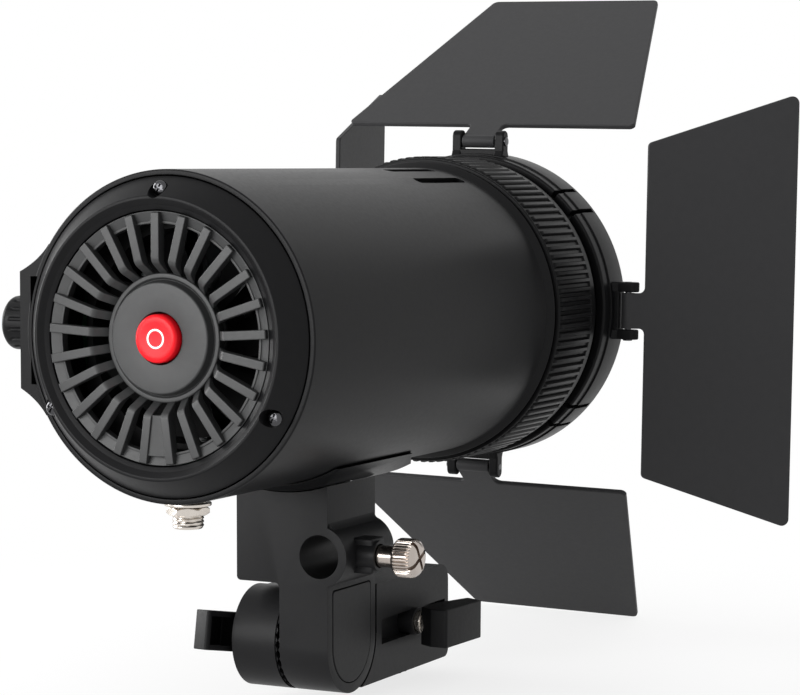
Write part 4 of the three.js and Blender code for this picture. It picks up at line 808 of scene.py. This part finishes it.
def lens_solid():
    """Plano-convex lens: flat rear face, straight edge, and a front that is part of a sphere."""
    rear, front, radius = axial("lens")
    crown, chamfer = 8, 0.3
    dome = (radius**2 + crown**2) / (2 * crown)
    angle = np.arcsin(radius / dome) * np.linspace(1, 0, 20)
    bulb = np.stack([dome * np.sin(angle), front - dome * (1 - np.cos(angle))], -1)
    bulb[-1, 0] = 0
    back = [(0, rear), (radius * 0.5, rear), (radius - chamfer, rear), (radius, rear + chamfer)]
    return lathe(np.concatenate([back, bulb]), PART_SIDES * 2)


def knurl(count, height, start, end, land_share):
    """Straight knurl as a bulge: lands that stand a height over the grooves. Across a land the height is a
    hump of the angle, and along it it rises and falls as a quarter round at both ends."""

    def bulge(outline, angle):
        level = outline[:, 1]
        across = np.clip((land_share - ripple(angle, count)) * 5, 0, 1)
        along = np.clip(np.minimum(level - start, end - level) / run_out, 0, 1)
        along = np.sqrt(1 - (1 - along) ** 2)
        return height * along[:, None] * across[None, :]

    return bulge


def focus_ring_solid():
    """Ring with a smooth rim at each end and straight grooves between them."""
    rear, front, top = axial("focus_ring")
    start, end, rim, base = rear + 0.9, front - 3.3, 47.0, 46.55
    rise = start + run_out * (1 - np.cos(np.linspace(0.3, np.pi / 2, 5)))
    rows = np.concatenate([[start], rise, [(start + end) / 2]])
    rows = np.concatenate([rows, (start + end) - rows[::-1][1:]])
    outline = np.concatenate([
        rounded([(ring_bore, front), (ring_bore, rear, 0.2), (rim, rear, 0.5), (rim, start - 0.3), (base, start)])[1:],
        [(base, row) for row in rows[1:]],
        rounded([(base, end), (rim, end + 0.3), (rim, front, 0.5), (ring_bore, front, 0.2), (ring_bore, rear)])[1:-1],
    ])
    lands, samples = 110, 12
    return lathe(outline, lands * samples, knurl(lands, top - base, start, end, 0.62))


def barn_ring_mesh():
    """Ring with a raised front half, an inner lip, snap slots beside the diagonals, and a pair of ears per leaf."""
    rear, step, front, lip = 182, 186.5, 198, 196.9
    rear_radius, front_radius, mouth = 48.1, 48.6, 41.6
    ring = revolved([
        (ring_bore, rear, 0.2), (rear_radius, rear, 0.7), (rear_radius, step), (front_radius, step, 0.2),
        (front_radius, front, 0.8), (mouth, front, 0.4), (mouth, lip, 0.2), (ring_bore, lip, 0.2),
    ])
    slot = block((44, rear - 1, -0.75), (50, rear + 14, 0.75))
    slots = [turned(slot, diagonal + side) for diagonal in (45, 135, 225, 315) for side in (-5.2, 5.2)]
    mesh = merged(carved(ring, cuts=slots, bevel=0.2), *[ear_mesh(quarter) for quarter in (0, 90, 180, 270)])
    mesh.transform(spin(ring_roll))
    return mesh


def ear_mesh(quarter):
    """Pair of ears about a hinge pin: posts with a round top, wider at their foot, and the bar between them."""
    inner, width, foot, waist, top, flare = 5.9, 3.9, 47.6, 49.6, 56, 0.8
    y0, y1, round_top, bar_top = hinge_y - width / 2, hinge_y + width / 2, width / 2.02, waist + 0.5
    side = rounded([
        (y0 - flare, foot), (y0, waist, flare), (y0, top, round_top), (y1, top, round_top), (y1, waist, flare),
        (y1 + flare, foot),
    ])
    posts = [prism("x", side, low, high, 0.45) for low, high in ((inner, ear_half), (-ear_half, -inner))]
    bar_side = rounded([(y0, foot), (y0, bar_top, 0.5), (y1, bar_top, 0.5), (y1, foot)])
    mesh = smooth_mesh(gather(*posts, prism("x", bar_side, -inner - 0.3, inner + 0.3)))
    mesh.transform(spin(quarter))
    return mesh


piece("reflector_cup", reflector_solid(), "head", "reflector_metal", ["reflector"])
piece("light_baffle", baffle_solid(), "head", "fan_plastic")
piece("front_tube_fine", front_tube_mesh(), "head", "ring_nylon", ["front_tube"])
piece("lens_cell", lens_cell_mesh(), "lens_carrier", "ring_nylon", ["lens_carrier"])
piece("lens_element", lens_solid(), "lens_carrier", "lens_glass", ["lens"])
piece("focus_grip", focus_ring_solid(), "focus_ring", "ring_nylon", ["focus_ring"])
piece("leaf_ring", barn_ring_mesh(), "barn_ring", "ring_nylon", ["barn_ring"])


# ---- Leaves

# Plates as root, tip, half width at the root and at the tip. Leaves as quarter, opening and kind of plate.
leaf_sizes = {"side": (5, 53, 52.7, 69), "end": (7.6, 90, 51, 30.5)}
leaf_places = {
    "top": (0, 31.7, "end"),
    "right": (90, 57, "side"),
    "bottom": (180, 38.5, "end"),
    "left": (-90, 9, "side"),
}
leaf_thickness = 1.6
leaf_offset = 1.2
tab_half = 5.6


def hinge_matrix(side):
    """From a leaf's own frame, hinge line on x and plate along y, to the head's frame."""
    quarter, opening = leaf_places[side][:2]
    return spin(quarter + ring_roll) @ (Matrix.Translation((0, hinge_y, hinge_radius)) @ spin(opening, "X"))


def leaf_solid(side):
    """Sheet leaf: plate, narrow tab and the rolled knuckle that the pin runs in."""
    root, tip, root_half, tip_half = leaf_sizes[leaf_places[side][2]]
    start, half = 0.4, leaf_thickness / 2
    plan = rounded([
        (-root_half, root, 1.6), (-tab_half, root, 1.8), (-tab_half, start), (tab_half, start),
        (tab_half, root, 1.8), (root_half, root, 1.6), (tip_half, tip, 2.2), (-tip_half, tip, 2.2),
    ], 8)
    plate = prism("z", plan, leaf_offset - half, leaf_offset + half, 0.35)
    return moved(gather(plate, tube_solid(1.3, 2.1, -tab_half, tab_half)), hinge_matrix(side))


def tube_solid(inner, outer, low, high, centre=(0, 0)):
    """Tube along x with rounded rims."""
    tube = revolved([(inner, low, 0.1), (outer, low, 0.25), (outer, high, 0.25), (inner, high, 0.1)], SMALL_SIDES)
    return along_x(tube, centre)


def pin_solid(side):
    """Hinge pin with a flat head outside one ear."""
    radius, head_radius, tail, top = 1, 1.5, -ear_half - 0.1, ear_half + 0.4
    pin = revolved([
        (0, tail), (radius, tail, 0.1), (radius, ear_half), (head_radius, ear_half, 0.1), (head_radius, top, 0.2),
        (0, top),
    ], SMALL_SIDES)
    return moved(along_x(pin), hinge_matrix(side))


for side in leaf_places:
    piece(f"leaf_sheet_{side}", leaf_solid(side), f"leaf_{side}", "leaf_metal", [f"leaf_{side}"])
    piece(f"hinge_rod_{side}", pin_solid(side), "barn_ring", "black_screw", [f"hinge_pin_{side}"])


# ---- Bracket under the barrel

half_width = 14.65
saddle_radius = 46.9
boss_centre = (11.94, -64.92)
boss_radius = 8.75
bracket_bottom = -73.1
ear_inner = -0.8
shaft_bore = 6.2
thumb_y = 70.9
thumb_place = (thumb_y, boss_centre[1])


def bracket_mesh():
    """Casting of ear, block and umbrella boss: a front-view outline and a side-view outline, each pushed through,
    and the room that they share, hollowed on top to the saddle's round."""
    top, ear_foot, corner = in_head("head_bracket")[1][2], -110, 1.2
    y0, y1 = tilt_place[0] - tilt_radius, tilt_place[0] + tilt_radius
    boss_x, boss_z = boss_centre
    boss_side = half_width - boss_x
    start = np.arctan2(-np.sqrt(boss_radius**2 - boss_side**2), boss_side)
    arc = compass(np.linspace(start, -start, 40)) * boss_radius + boss_centre
    left = rounded([
        (half_width, top), (-half_width, top), (-half_width, bracket_bottom, corner),
        (ear_inner, bracket_bottom, 1.5), (ear_inner, ear_foot), (half_width, ear_foot),
    ])
    front_view = np.concatenate([left, arc])
    side_view = np.concatenate([[(y1, top + 1), (y0, top + 1)], tilt_arc(tilt_radius, 48)])
    body = prism("y", front_view, y0 - 1, y1 + 1)
    limit = prism("x", side_view, -30, 30)
    saddle_room = rod("y", saddle_radius + gap, y0 - 2, y1 + 2, sides=RING_SIDES)
    casting = solid_of(carved(body, limits=[limit], cuts=[saddle_room], bevel=0.9, segments=4))
    hollow = curve((half_width - gap, boss_z + 10.6), (half_width, boss_z + 8.6), (boss_x + 6.1, boss_z + 6.1))
    web = prism("y", np.concatenate([hollow, [(half_width - gap, boss_z)]]), y0 + 0.9, y1 - 0.9)
    bore = rod("y", shaft_bore, y0 - 2, y1 + 2, boss_centre)
    web_mesh = carved(web, cuts=[bore])
    bolt_hole = drill("x", screw_hole, -5, 20, tilt_place)
    cover_seat = prism("x", cover_outline(gap), half_width - 1.4, half_width + 2)
    nut_seat = prism("x", circle(tilt_place, 6.1, 6), half_width - 6, half_width)
    screw_way = drill("x", 3.45, boss_x, 28, thumb_place)
    block_mesh = carved(casting, cuts=[bore, bolt_hole, cover_seat, nut_seat, screw_way], bevel=0.3)
    pad = block((boss_x + 6, thumb_y - 3, boss_z - 5), (25.2, thumb_y + 4.5, boss_z + 5), 0.6)
    collar = drill("x", 4.3, boss_x + 6, 26.1, thumb_place)
    pad_mesh = carved(pad, joins=[collar], cuts=[bore, screw_way], bevel=0.3)
    return merged(block_mesh, web_mesh, pad_mesh, smooth_mesh(rosette(ear_inner, -1, tilt_place)))


def tilt_arc(radius, steps):
    """Lower half of a circle about the tilt axis, from the rear to the front."""
    return compass(np.linspace(np.pi, 2 * np.pi, steps)) * radius + tilt_place


def cover_outline(margin):
    """Outline of the ear's cover: a flat top with small corners and a round end about the tilt axis."""
    arc, top, corner = tilt_arc(11.5 + margin, 40), -75 + margin, 1.2
    rear, front = arc[0], arc[-1]
    return np.concatenate([arc[1:-1], rounded([front, (front[0], top, corner), (rear[0], top, corner), rear])])


def rosette(face_x, side, centre):
    """Ring of radial teeth on a flat face: the height is a triangle wave of the angle, growing with the radius."""
    count, inner, outer, height, root = 32, 7.0, 14.2, 0.65, 0.3
    angle = np.arange(count * 2) * np.pi / count
    wave = np.arange(count * 2) % 2
    rows = []
    for radius, rise in ((inner, -root), (inner, height * 0.6 * wave), (outer, height * wave), (outer, -root)):
        spots = radius * compass(angle) + centre
        rows.append(np.insert(spots, 0, face_x + side * rise, axis=1))
    return skin(np.array(rows), True)


def foot_mesh():
    """Saddle: a shell round the tube that rises behind the bracket and fades to a narrow nose in front. Its fades
    follow a cosine from thin to full, and its flanks run down to the bracket's width."""
    rear, front = axial("foot_pad")[:2]
    full_from, full_to, inner = 60.75, 101.75, barrel_radius + gap
    thin, share = inner + 0.25, np.linspace(0, 1, CURVE_STEPS)
    rise = (1 - np.cos(np.pi * share)) / 2
    outer = thin + rise * (saddle_radius - thin)
    rear_fade = np.stack([outer, rear + share * (full_from - rear)], -1)
    front_fade = np.stack([outer[::-1], full_to + share * (front - full_to)], -1)
    shell = lathe(np.concatenate([[(inner, rear)], rear_fade, front_fade, [(inner, front)]]))
    edge_x, edge_z, flank_z, bottom = 22.4, -38.8, -44.55, -48
    section = [
        (-edge_x, edge_z), (edge_x, edge_z), (half_width, flank_z), (half_width, bottom), (-half_width, bottom),
        (-half_width, flank_z),
    ]
    side, waist, nose, shoulder = 44, 22.9, 10, 97.05
    plan = rounded([
        (-side, rear - 1), (side, rear - 1), (side, shoulder), (waist, shoulder, 6), (nose, front + 1),
        (-nose, front + 1), (-waist, shoulder, 6), (-side, shoulder),
    ])
    limits = [prism("y", section, rear - 1, front + 1), prism("z", plan, bottom - 1, 0)]
    return carved(shell, limits=limits, bevel=0.12, segments=3)


piece("tilt_bracket", bracket_mesh(), "head", "bracket_nylon", ["head_bracket"])
cover = prism("x", cover_outline(0), half_width - 1.1, half_width + 0.15, 0.3)
piece("ear_cover_plate", cover, "head", "bracket_nylon", ["ear_cover"])
piece("foot_saddle", foot_mesh(), "head", "housing_abs", ["foot_pad"])


# ---- Umbrella screw


def thumb_screw_mesh():
    """Knurled thumb screw: plain neck, straight knurl between two round rims, and an end with a deep cross slot."""
    low, high = in_head("umbrella_screw")
    start, end, head, radius, neck = low[0], high[0], 31.4, high[1] - thumb_y, 3.1
    outline = rounded([
        (0, start), (neck, start, 0.2), (neck, head, 0.1), (radius, head, 1.7), (radius, head + 3),
        (radius, end, 2.4), (0, end),
    ])
    knurls, samples, depth, margin, run = 36, 10, 0.4, 0.9, 0.8

    def bulge(outline, angle):
        along = np.clip(np.minimum(outline[:, 1] - head, end - margin - outline[:, 1]) / run, 0, 1)
        return -depth * along[:, None] * (1 - np.clip(ripple(angle, knurls) * 1.8, 0, 1))[None, :]

    body = along_x(lathe(outline, knurls * samples, bulge), thumb_place)
    return carved(body, cuts=cross("x", radius + 1, 0.6, end - 1.5, end + 1, 28, thumb_place), bevel=0.08)


piece("umbrella_thumb_screw", thumb_screw_mesh(), "umbrella_screw", "chrome", ["umbrella_screw"])


# ---- Power inlet


def upright(node):
    """Bottom, top and outer radius of a CAD node of the inlet, which is round about a line along z."""
    low, high = in_head(node)
    return low[2], high[2], high[0]


def jack_solid():
    """Threaded barrel: the wall's radius follows a triangle wave of height along the axis less the turn's share
    of a pitch, which makes one helical crest, under a cone at its end. The bore holds a centre pin."""
    bottom, top, radius = upright("jack_body")
    pitch, depth, bore, thread_top, floor = 1.0, 0.32, 2.8, top - 3.0, bottom + 9
    outline = np.array([
        (bore, floor), (bore, bottom + 0.3), (bore + 0.3, bottom), (radius - 0.6, bottom),
        *[(radius, z) for z in np.arange(bottom + 0.1, thread_top, 0.12)], (radius, top), (0, top), (0, floor),
    ])

    def bulge(outline, angle):
        radii, level = outline[:, :1], outline[:, 1:2]
        phase = (level / pitch - angle[None, :] / (2 * np.pi)) % 1
        threaded = (radii > radius - 0.1) & (level < thread_top)
        cone = np.clip(0.55 - 0.8 * (level - bottom), 0, None)
        return -1.0 * threaded * np.maximum(depth * np.abs(phase - 0.5) * 2, cone)

    pin = revolved([(0, bottom + 1), (1, bottom + 1, 0.4), (1, bottom + 10), (0, bottom + 10)], SMALL_SIDES)
    return turned_up(gather(lathe(outline, SMALL_SIDES * 2, bulge), pin))


def turned_up(solid):
    """A solid of revolution about y, its y made z, on the inlet's axis."""
    points, faces = solid
    return np.stack([points[:, 0], points[:, 2] + jack_y, points[:, 1]], -1), faces


def washer_solid():
    """Spring washer: a thin ring with turned edges."""
    z0, z1, outer = upright("jack_washer")
    outline = [(inlet_hole, z0, 0.1), (outer, z0, 0.25), (outer, z1, 0.25), (inlet_hole, z1, 0.1)]
    return turned_up(revolved(outline, PART_SIDES))


def nut_solid():
    """Hexagon nut: at each angle the radius is the lesser of the hexagon's and of the chamfer's cone."""
    z0, z1 = upright("jack_nut")[:2]
    flat, bore, chamfer, sector = 5.02, 4.5, 0.6, np.pi / 3
    rows = np.concatenate([np.linspace(z0, z0 + chamfer, 6), np.linspace(z1 - chamfer, z1, 6)])
    outline = np.array([(bore, z0), *[(flat, z) for z in rows], (bore, z1)])

    def bulge(outline, angle):
        hexagon = flat / np.cos((angle + sector / 2) % sector - sector / 2)
        from_end = np.minimum(outline[:, 1] - z0, z1 - outline[:, 1])
        cone = flat - 0.1 + from_end[:, None] * 1.6
        outside = outline[:, :1] > bore + 0.1
        return outside * (np.minimum(hexagon[None, :], cone) - flat)

    return turned_up(lathe(outline, 120, bulge))


piece("inlet_thread", jack_solid(), "head", "nickel", ["jack_body"])
piece("inlet_washer", washer_solid(), "head", "nickel", ["jack_washer"])
piece("inlet_nut", nut_solid(), "head", "nickel", ["jack_nut"])


# ---- Control side


def knob_solid():
    """Fluted knob: a crowned round body whose flutes are rounded at both ends, and a short stub."""
    outer, base = in_head("panel_knob")[0][0], in_head("barrel")[0][0] - gap
    length, radius, stub, stub_length = base - outer, 7.4, 3, 2
    outline = rounded([
        (0, -stub_length), (stub, -stub_length, 0.2), (stub, 0), (radius, 0, 0.4), (radius, 3), (radius, length - 3.5),
        (radius, length, 1.4), (0, length),
    ])
    rows = np.linspace(2.2, length - 2.2, 16)
    first = int(np.argmax((outline[:, 0] > radius - 0.01) & (outline[:, 1] > 2)))
    outline = np.concatenate([outline[:first], [(radius, row) for row in rows], outline[outline[:, 1] > length - 2]])
    flutes, samples, depth, share, margin, run = 16, 14, 0.5, 0.38, 2.4, 0.8

    def bulge(outline, angle):
        across = np.clip((share - ripple(angle, flutes)) * 8, 0, 1)
        along = np.clip(np.minimum(outline[:, 1] - margin, length - margin - outline[:, 1]) / run, 0, 1)
        return -depth * (along * (outline[:, 0] > 5))[:, None] * across[None, :]

    return along_x(lathe(outline, flutes * samples, bulge), knob_centre, base, -1)


def fascia_mesh():
    """Acrylic fascia with the display's opening and the button's hole."""
    (x0, y0, z0), (x1, y1, z1) = in_head("control_plate")
    low, high = in_head("display_window")
    plate = prism("x", rectangle((y0, z0), (y1, z1), 1.5), x0, x1)
    opening = block((x0 - 1, low[1] - gap, low[2] - gap), (x1 + 1, high[1] + gap, high[2] + gap))
    return carved(plate, cuts=[opening, drill("x", 4, x0 - 1, x1 + 1, button_centre)], bevel=0.15)


def mode_button_solid():
    """Round push button with a domed face."""
    low, high = in_head("mode_button")
    radius, length = (high[2] - low[2]) / 2, high[0] - low[0]
    button = revolved([(0, 0), (radius, 0, 0.1), (radius, length - 0.25, 0.35), (0, length)], PART_SIDES)
    return along_x(button, button_centre, high[0], -1)


piece("dimmer_knob", knob_solid(), "panel_knob", "housing_abs", ["panel_knob"])
piece("control_fascia", fascia_mesh(), "head", "panel_acrylic", ["control_plate"])
piece("display_cover", block(*in_head("display_window"), 0.15), "head", "display_glass", ["display_window"])
piece("mode_push_button", mode_button_solid(), "mode_button", "housing_abs", ["mode_button"])


# ---- Stand receptacle and levers

stand_tilt = (-39.6, 14.2)
clamp_axis = (0, stand_tilt[1])
socket_bore = 8.05


def stand_mesh():
    """Receptacle casting: block with a rounded front, web, round cheek with its teeth, socket and side pocket, in
    which a sleeve stands round the clamp screw."""
    cheek_out, cheek_in = box_of("stand_block")[0][0], -2.45
    front, rear, height, tilt_y = 23.8, -24, 28.7, stand_tilt[0]
    side = rounded([(rear, 0), (front, 0, 2.5), (front, height, 5), (rear, height, 0.5)], 8)
    body = prism("x", side, -half_width, half_width)
    web = block((-half_width, tilt_y, 0), (half_width, rear + gap, stand_tilt[1]))
    arm = block((cheek_out, tilt_y, 0), (cheek_in, rear, height - 0.75))
    cheek = rod("x", tilt_radius, cheek_out, cheek_in, stand_tilt)
    ear_room = rod("x", tilt_radius + 0.75, cheek_in, 20, stand_tilt)
    casting = solid_of(carved(body, joins=[web, arm, cheek], cuts=[ear_room], bevel=0.8, segments=4))
    holes = [
        rod("z", socket_bore, -1, 25.7),
        rod("z", 11.7, -1, 1.9),
        block((11.25, -20.8, 10.5), (20, 21.4, 17.9)),
        drill("x", screw_hole, 0, 20, clamp_axis),
        drill("x", screw_hole, -20, 0, stand_tilt),
    ]
    details = gather(tube_solid(screw_hole, 4.1, 10.95, 16.3, clamp_axis), rosette(cheek_in, 1, stand_tilt))
    return merged(carved(casting, cuts=holes, bevel=0.35), smooth_mesh(details))


def collar_mesh():
    """Castellated collar under the socket's mouth."""
    low, high = box_of("socket_collar")
    z0, z1, outer = low[2], high[2], 11.4
    outline = [(socket_bore, z0, 0.2), (outer, z0, 0.4), (outer, z1, 0.2), (socket_bore, z1, 0.2)]
    ring = turned(revolved(outline, PART_SIDES), -90, "X")
    bars = [turned(block((-14, -1.5, z0 - 1), (14, 1.5, 0)), i * 45, "Z") for i in range(4)]
    return carved(ring, cuts=bars, bevel=0.2)


def lever_mesh(matrix):
    """Ratchet lever: its arm narrows to the tip on the inner side, where it is hollow behind a thin wall."""
    half, wall, thickness, floor, heel, back, tip = 5.65, 1.6, 9.8, 8.2, -5.6, 6.5, 3.7
    plan = rounded([
        (0, -2.6, 0.3), (4.6, heel, 0.5), (thickness, heel, 0.9), (thickness, 18.6, 0.9), (tip, 22.1, 0.9), (0, 8),
    ])
    inside = rounded([(-1, back), (floor, back, 0.5), (floor, 17.0, 0.5), (tip, 20.5, 0.5), (-1, 20.5)])
    hollow = prism("z", inside, -half + wall, half - wall)
    casting = solid_of(carved(prism("z", plan, -half, half), bevel=1.0, segments=4))
    mesh = carved(casting, cuts=[hollow, drill("x", screw_hole, -1, 5.3)], bevel=0.2)
    mesh.transform(matrix)
    return mesh


def clamp_screw_solid():
    """Screw of the clamp lever: shank with a flange against the lever."""
    low, high = box_of("clamp_screw")
    radius, flange, start, end = 3, 3.3, 16.9, 18.2
    screw = revolved([
        (0, low[0]), (radius, low[0], 0.3), (radius, start), (flange, start, 0.2), (flange, end, 0.2), (radius, end),
        (radius, high[0], 0.3), (0, high[0]),
    ], SMALL_SIDES)
    return along_x(screw, clamp_axis)


clamp_place = Matrix.Translation((18.5, 0, stand_tilt[1] - 0.8)) @ spin(-1, "X")
tilt_lever_place = Matrix.Translation((-16.7, *stand_tilt)) @ spin(-10.4, "X") @ spin(180, "Z")
piece("stand_receptacle", stand_mesh(), "stand_block", "bracket_nylon", ["stand_block"], STAND)
piece("socket_castle_ring", collar_mesh(), "stand_block", "bracket_nylon", ["socket_collar"], STAND)
piece("clamp_lever_casting", lever_mesh(clamp_place), "clamp_lever", "lever_nylon", ["clamp_lever"], STAND)
piece("tilt_lever_casting", lever_mesh(tilt_lever_place), "tilt_lever", "lever_nylon", ["tilt_lever"], STAND)
piece("clamp_screw_shank", clamp_screw_solid(), "clamp_lever", "nickel", ["clamp_screw"], STAND)


# ---- Studio

# The camera fitted to the photograph: place in metres, turns in degrees, and its lens on a film's width.
camera_place = (0.3732, -0.7203, 0.1508)
camera_yaw = 26.75
camera_pitch = -3.89
camera_lens = 122.3
film_width = 36

# Lamps as name, place, size and power. They all look at one point.
lamp_aim = Vector((0, 0, 0.1))
lamps = (
    ("top softbox", (-0.1, 0.9, 0.9), (1.4, 0.6), 1),
    ("rear softbox", (-0.4, -1.3, 0.3), (1.0, 0.9), 20),
    ("left softbox", (-1.3, -0.2, 0.35), (0.7, 0.8), 18),
)
room_light = 0.72
white = {"Color": (1, 1, 1, 1), "Strength": 1.0}


def combined(tree, operation, first, second):
    """Result of an operation on two numbers."""
    return add(tree, "ShaderNodeMath", {0: first, 1: second}, operation=operation).outputs[0]


def rays_of(tree, *kinds):
    """1 for a ray of one of these kinds, otherwise 0."""
    rays = add(tree, "ShaderNodeLightPath").outputs
    found = rays[kinds[0]]
    for kind in kinds[1:]:
        found = combined(tree, "MAXIMUM", found, rays[kind])
    return found


def show_mix(tree, factor, first, second, output):
    """Sends two shaders, mixed by a factor, to the output node."""
    mix = add(tree, "ShaderNodeMixShader", {0: factor, 1: first.outputs[0], 2: second.outputs[0]}).outputs[0]
    tree.links.new(mix, tree.nodes[output].inputs["Surface"])


def floor_material():
    """Pale floor: it takes the object's soft shadow near by and is pure white further off."""
    material, tree, shader, place = surface("pale studio floor", Roughness=0.9, Base_Color=linear("#f4f4f4"))
    distance = add(tree, "ShaderNodeVectorMath", {0: place}, operation="LENGTH").outputs["Value"]
    far = {"Value": distance, "From Min": 0.06, "From Max": 0.3, "To Min": 0.75}
    share = add(tree, "ShaderNodeMapRange", far, interpolation_type="SMOOTHSTEP").outputs["Result"]
    factor = combined(tree, "MULTIPLY", share, rays_of(tree, "Is Camera Ray", "Is Glossy Ray"))
    show_mix(tree, factor, shader, add(tree, "ShaderNodeEmission", white), "Material Output")
    return material


def studio_floor():
    """Round floor at the object's lowest point."""
    radius, thickness = 6000, 20
    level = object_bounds()[0][2] / MM - 0.02
    mesh = mesh_of(rod("z", radius, level - thickness, level), "studio_floor")
    mesh.transform(Matrix.Scale(MM, 4))
    mesh.materials.append(floor_material())
    object_of(mesh)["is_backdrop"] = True


def softbox(name, place, size, power):
    """Rectangular area lamp, in metres."""
    lamp = bpy.data.lights.new(name, "AREA")
    lamp.shape = "RECTANGLE"
    lamp.size, lamp.size_y = size
    lamp.energy = power
    thing = object_of(lamp)
    thing.location = place
    thing.rotation_euler = (lamp_aim - Vector(place)).to_track_quat("-Z", "Y").to_euler()


def studio_world():
    """Soft room light, seen as pure white by the camera, by glossy surfaces and through glass."""
    world = bpy.data.worlds.new("studio")
    bpy.context.scene.world = world
    world.use_nodes = True
    tree = world.node_tree
    room = tree.nodes["Background"]
    room.inputs["Color"].default_value = white["Color"]
    room.inputs["Strength"].default_value = room_light
    seen = rays_of(tree, "Is Camera Ray", "Is Glossy Ray", "Is Transmission Ray")
    show_mix(tree, seen, room, add(tree, "ShaderNodeBackground", white), "World Output")


def studio_camera():
    """Camera at the photograph's place: behind the light, to its right and a little above it."""
    lens = bpy.data.cameras.new("camera")
    lens.lens = camera_lens
    lens.sensor_width = film_width
    lens.clip_start = 0.01
    thing = object_of(lens)
    thing.location = camera_place
    thing.rotation_euler = (np.radians(90 + camera_pitch), 0, np.radians(camera_yaw))
    bpy.context.scene.camera = thing


studio_floor()
studio_world()
studio_camera()
for lamp in lamps:
    softbox(*lamp)
bpy.context.scene.view_settings.view_transform = "Standard"
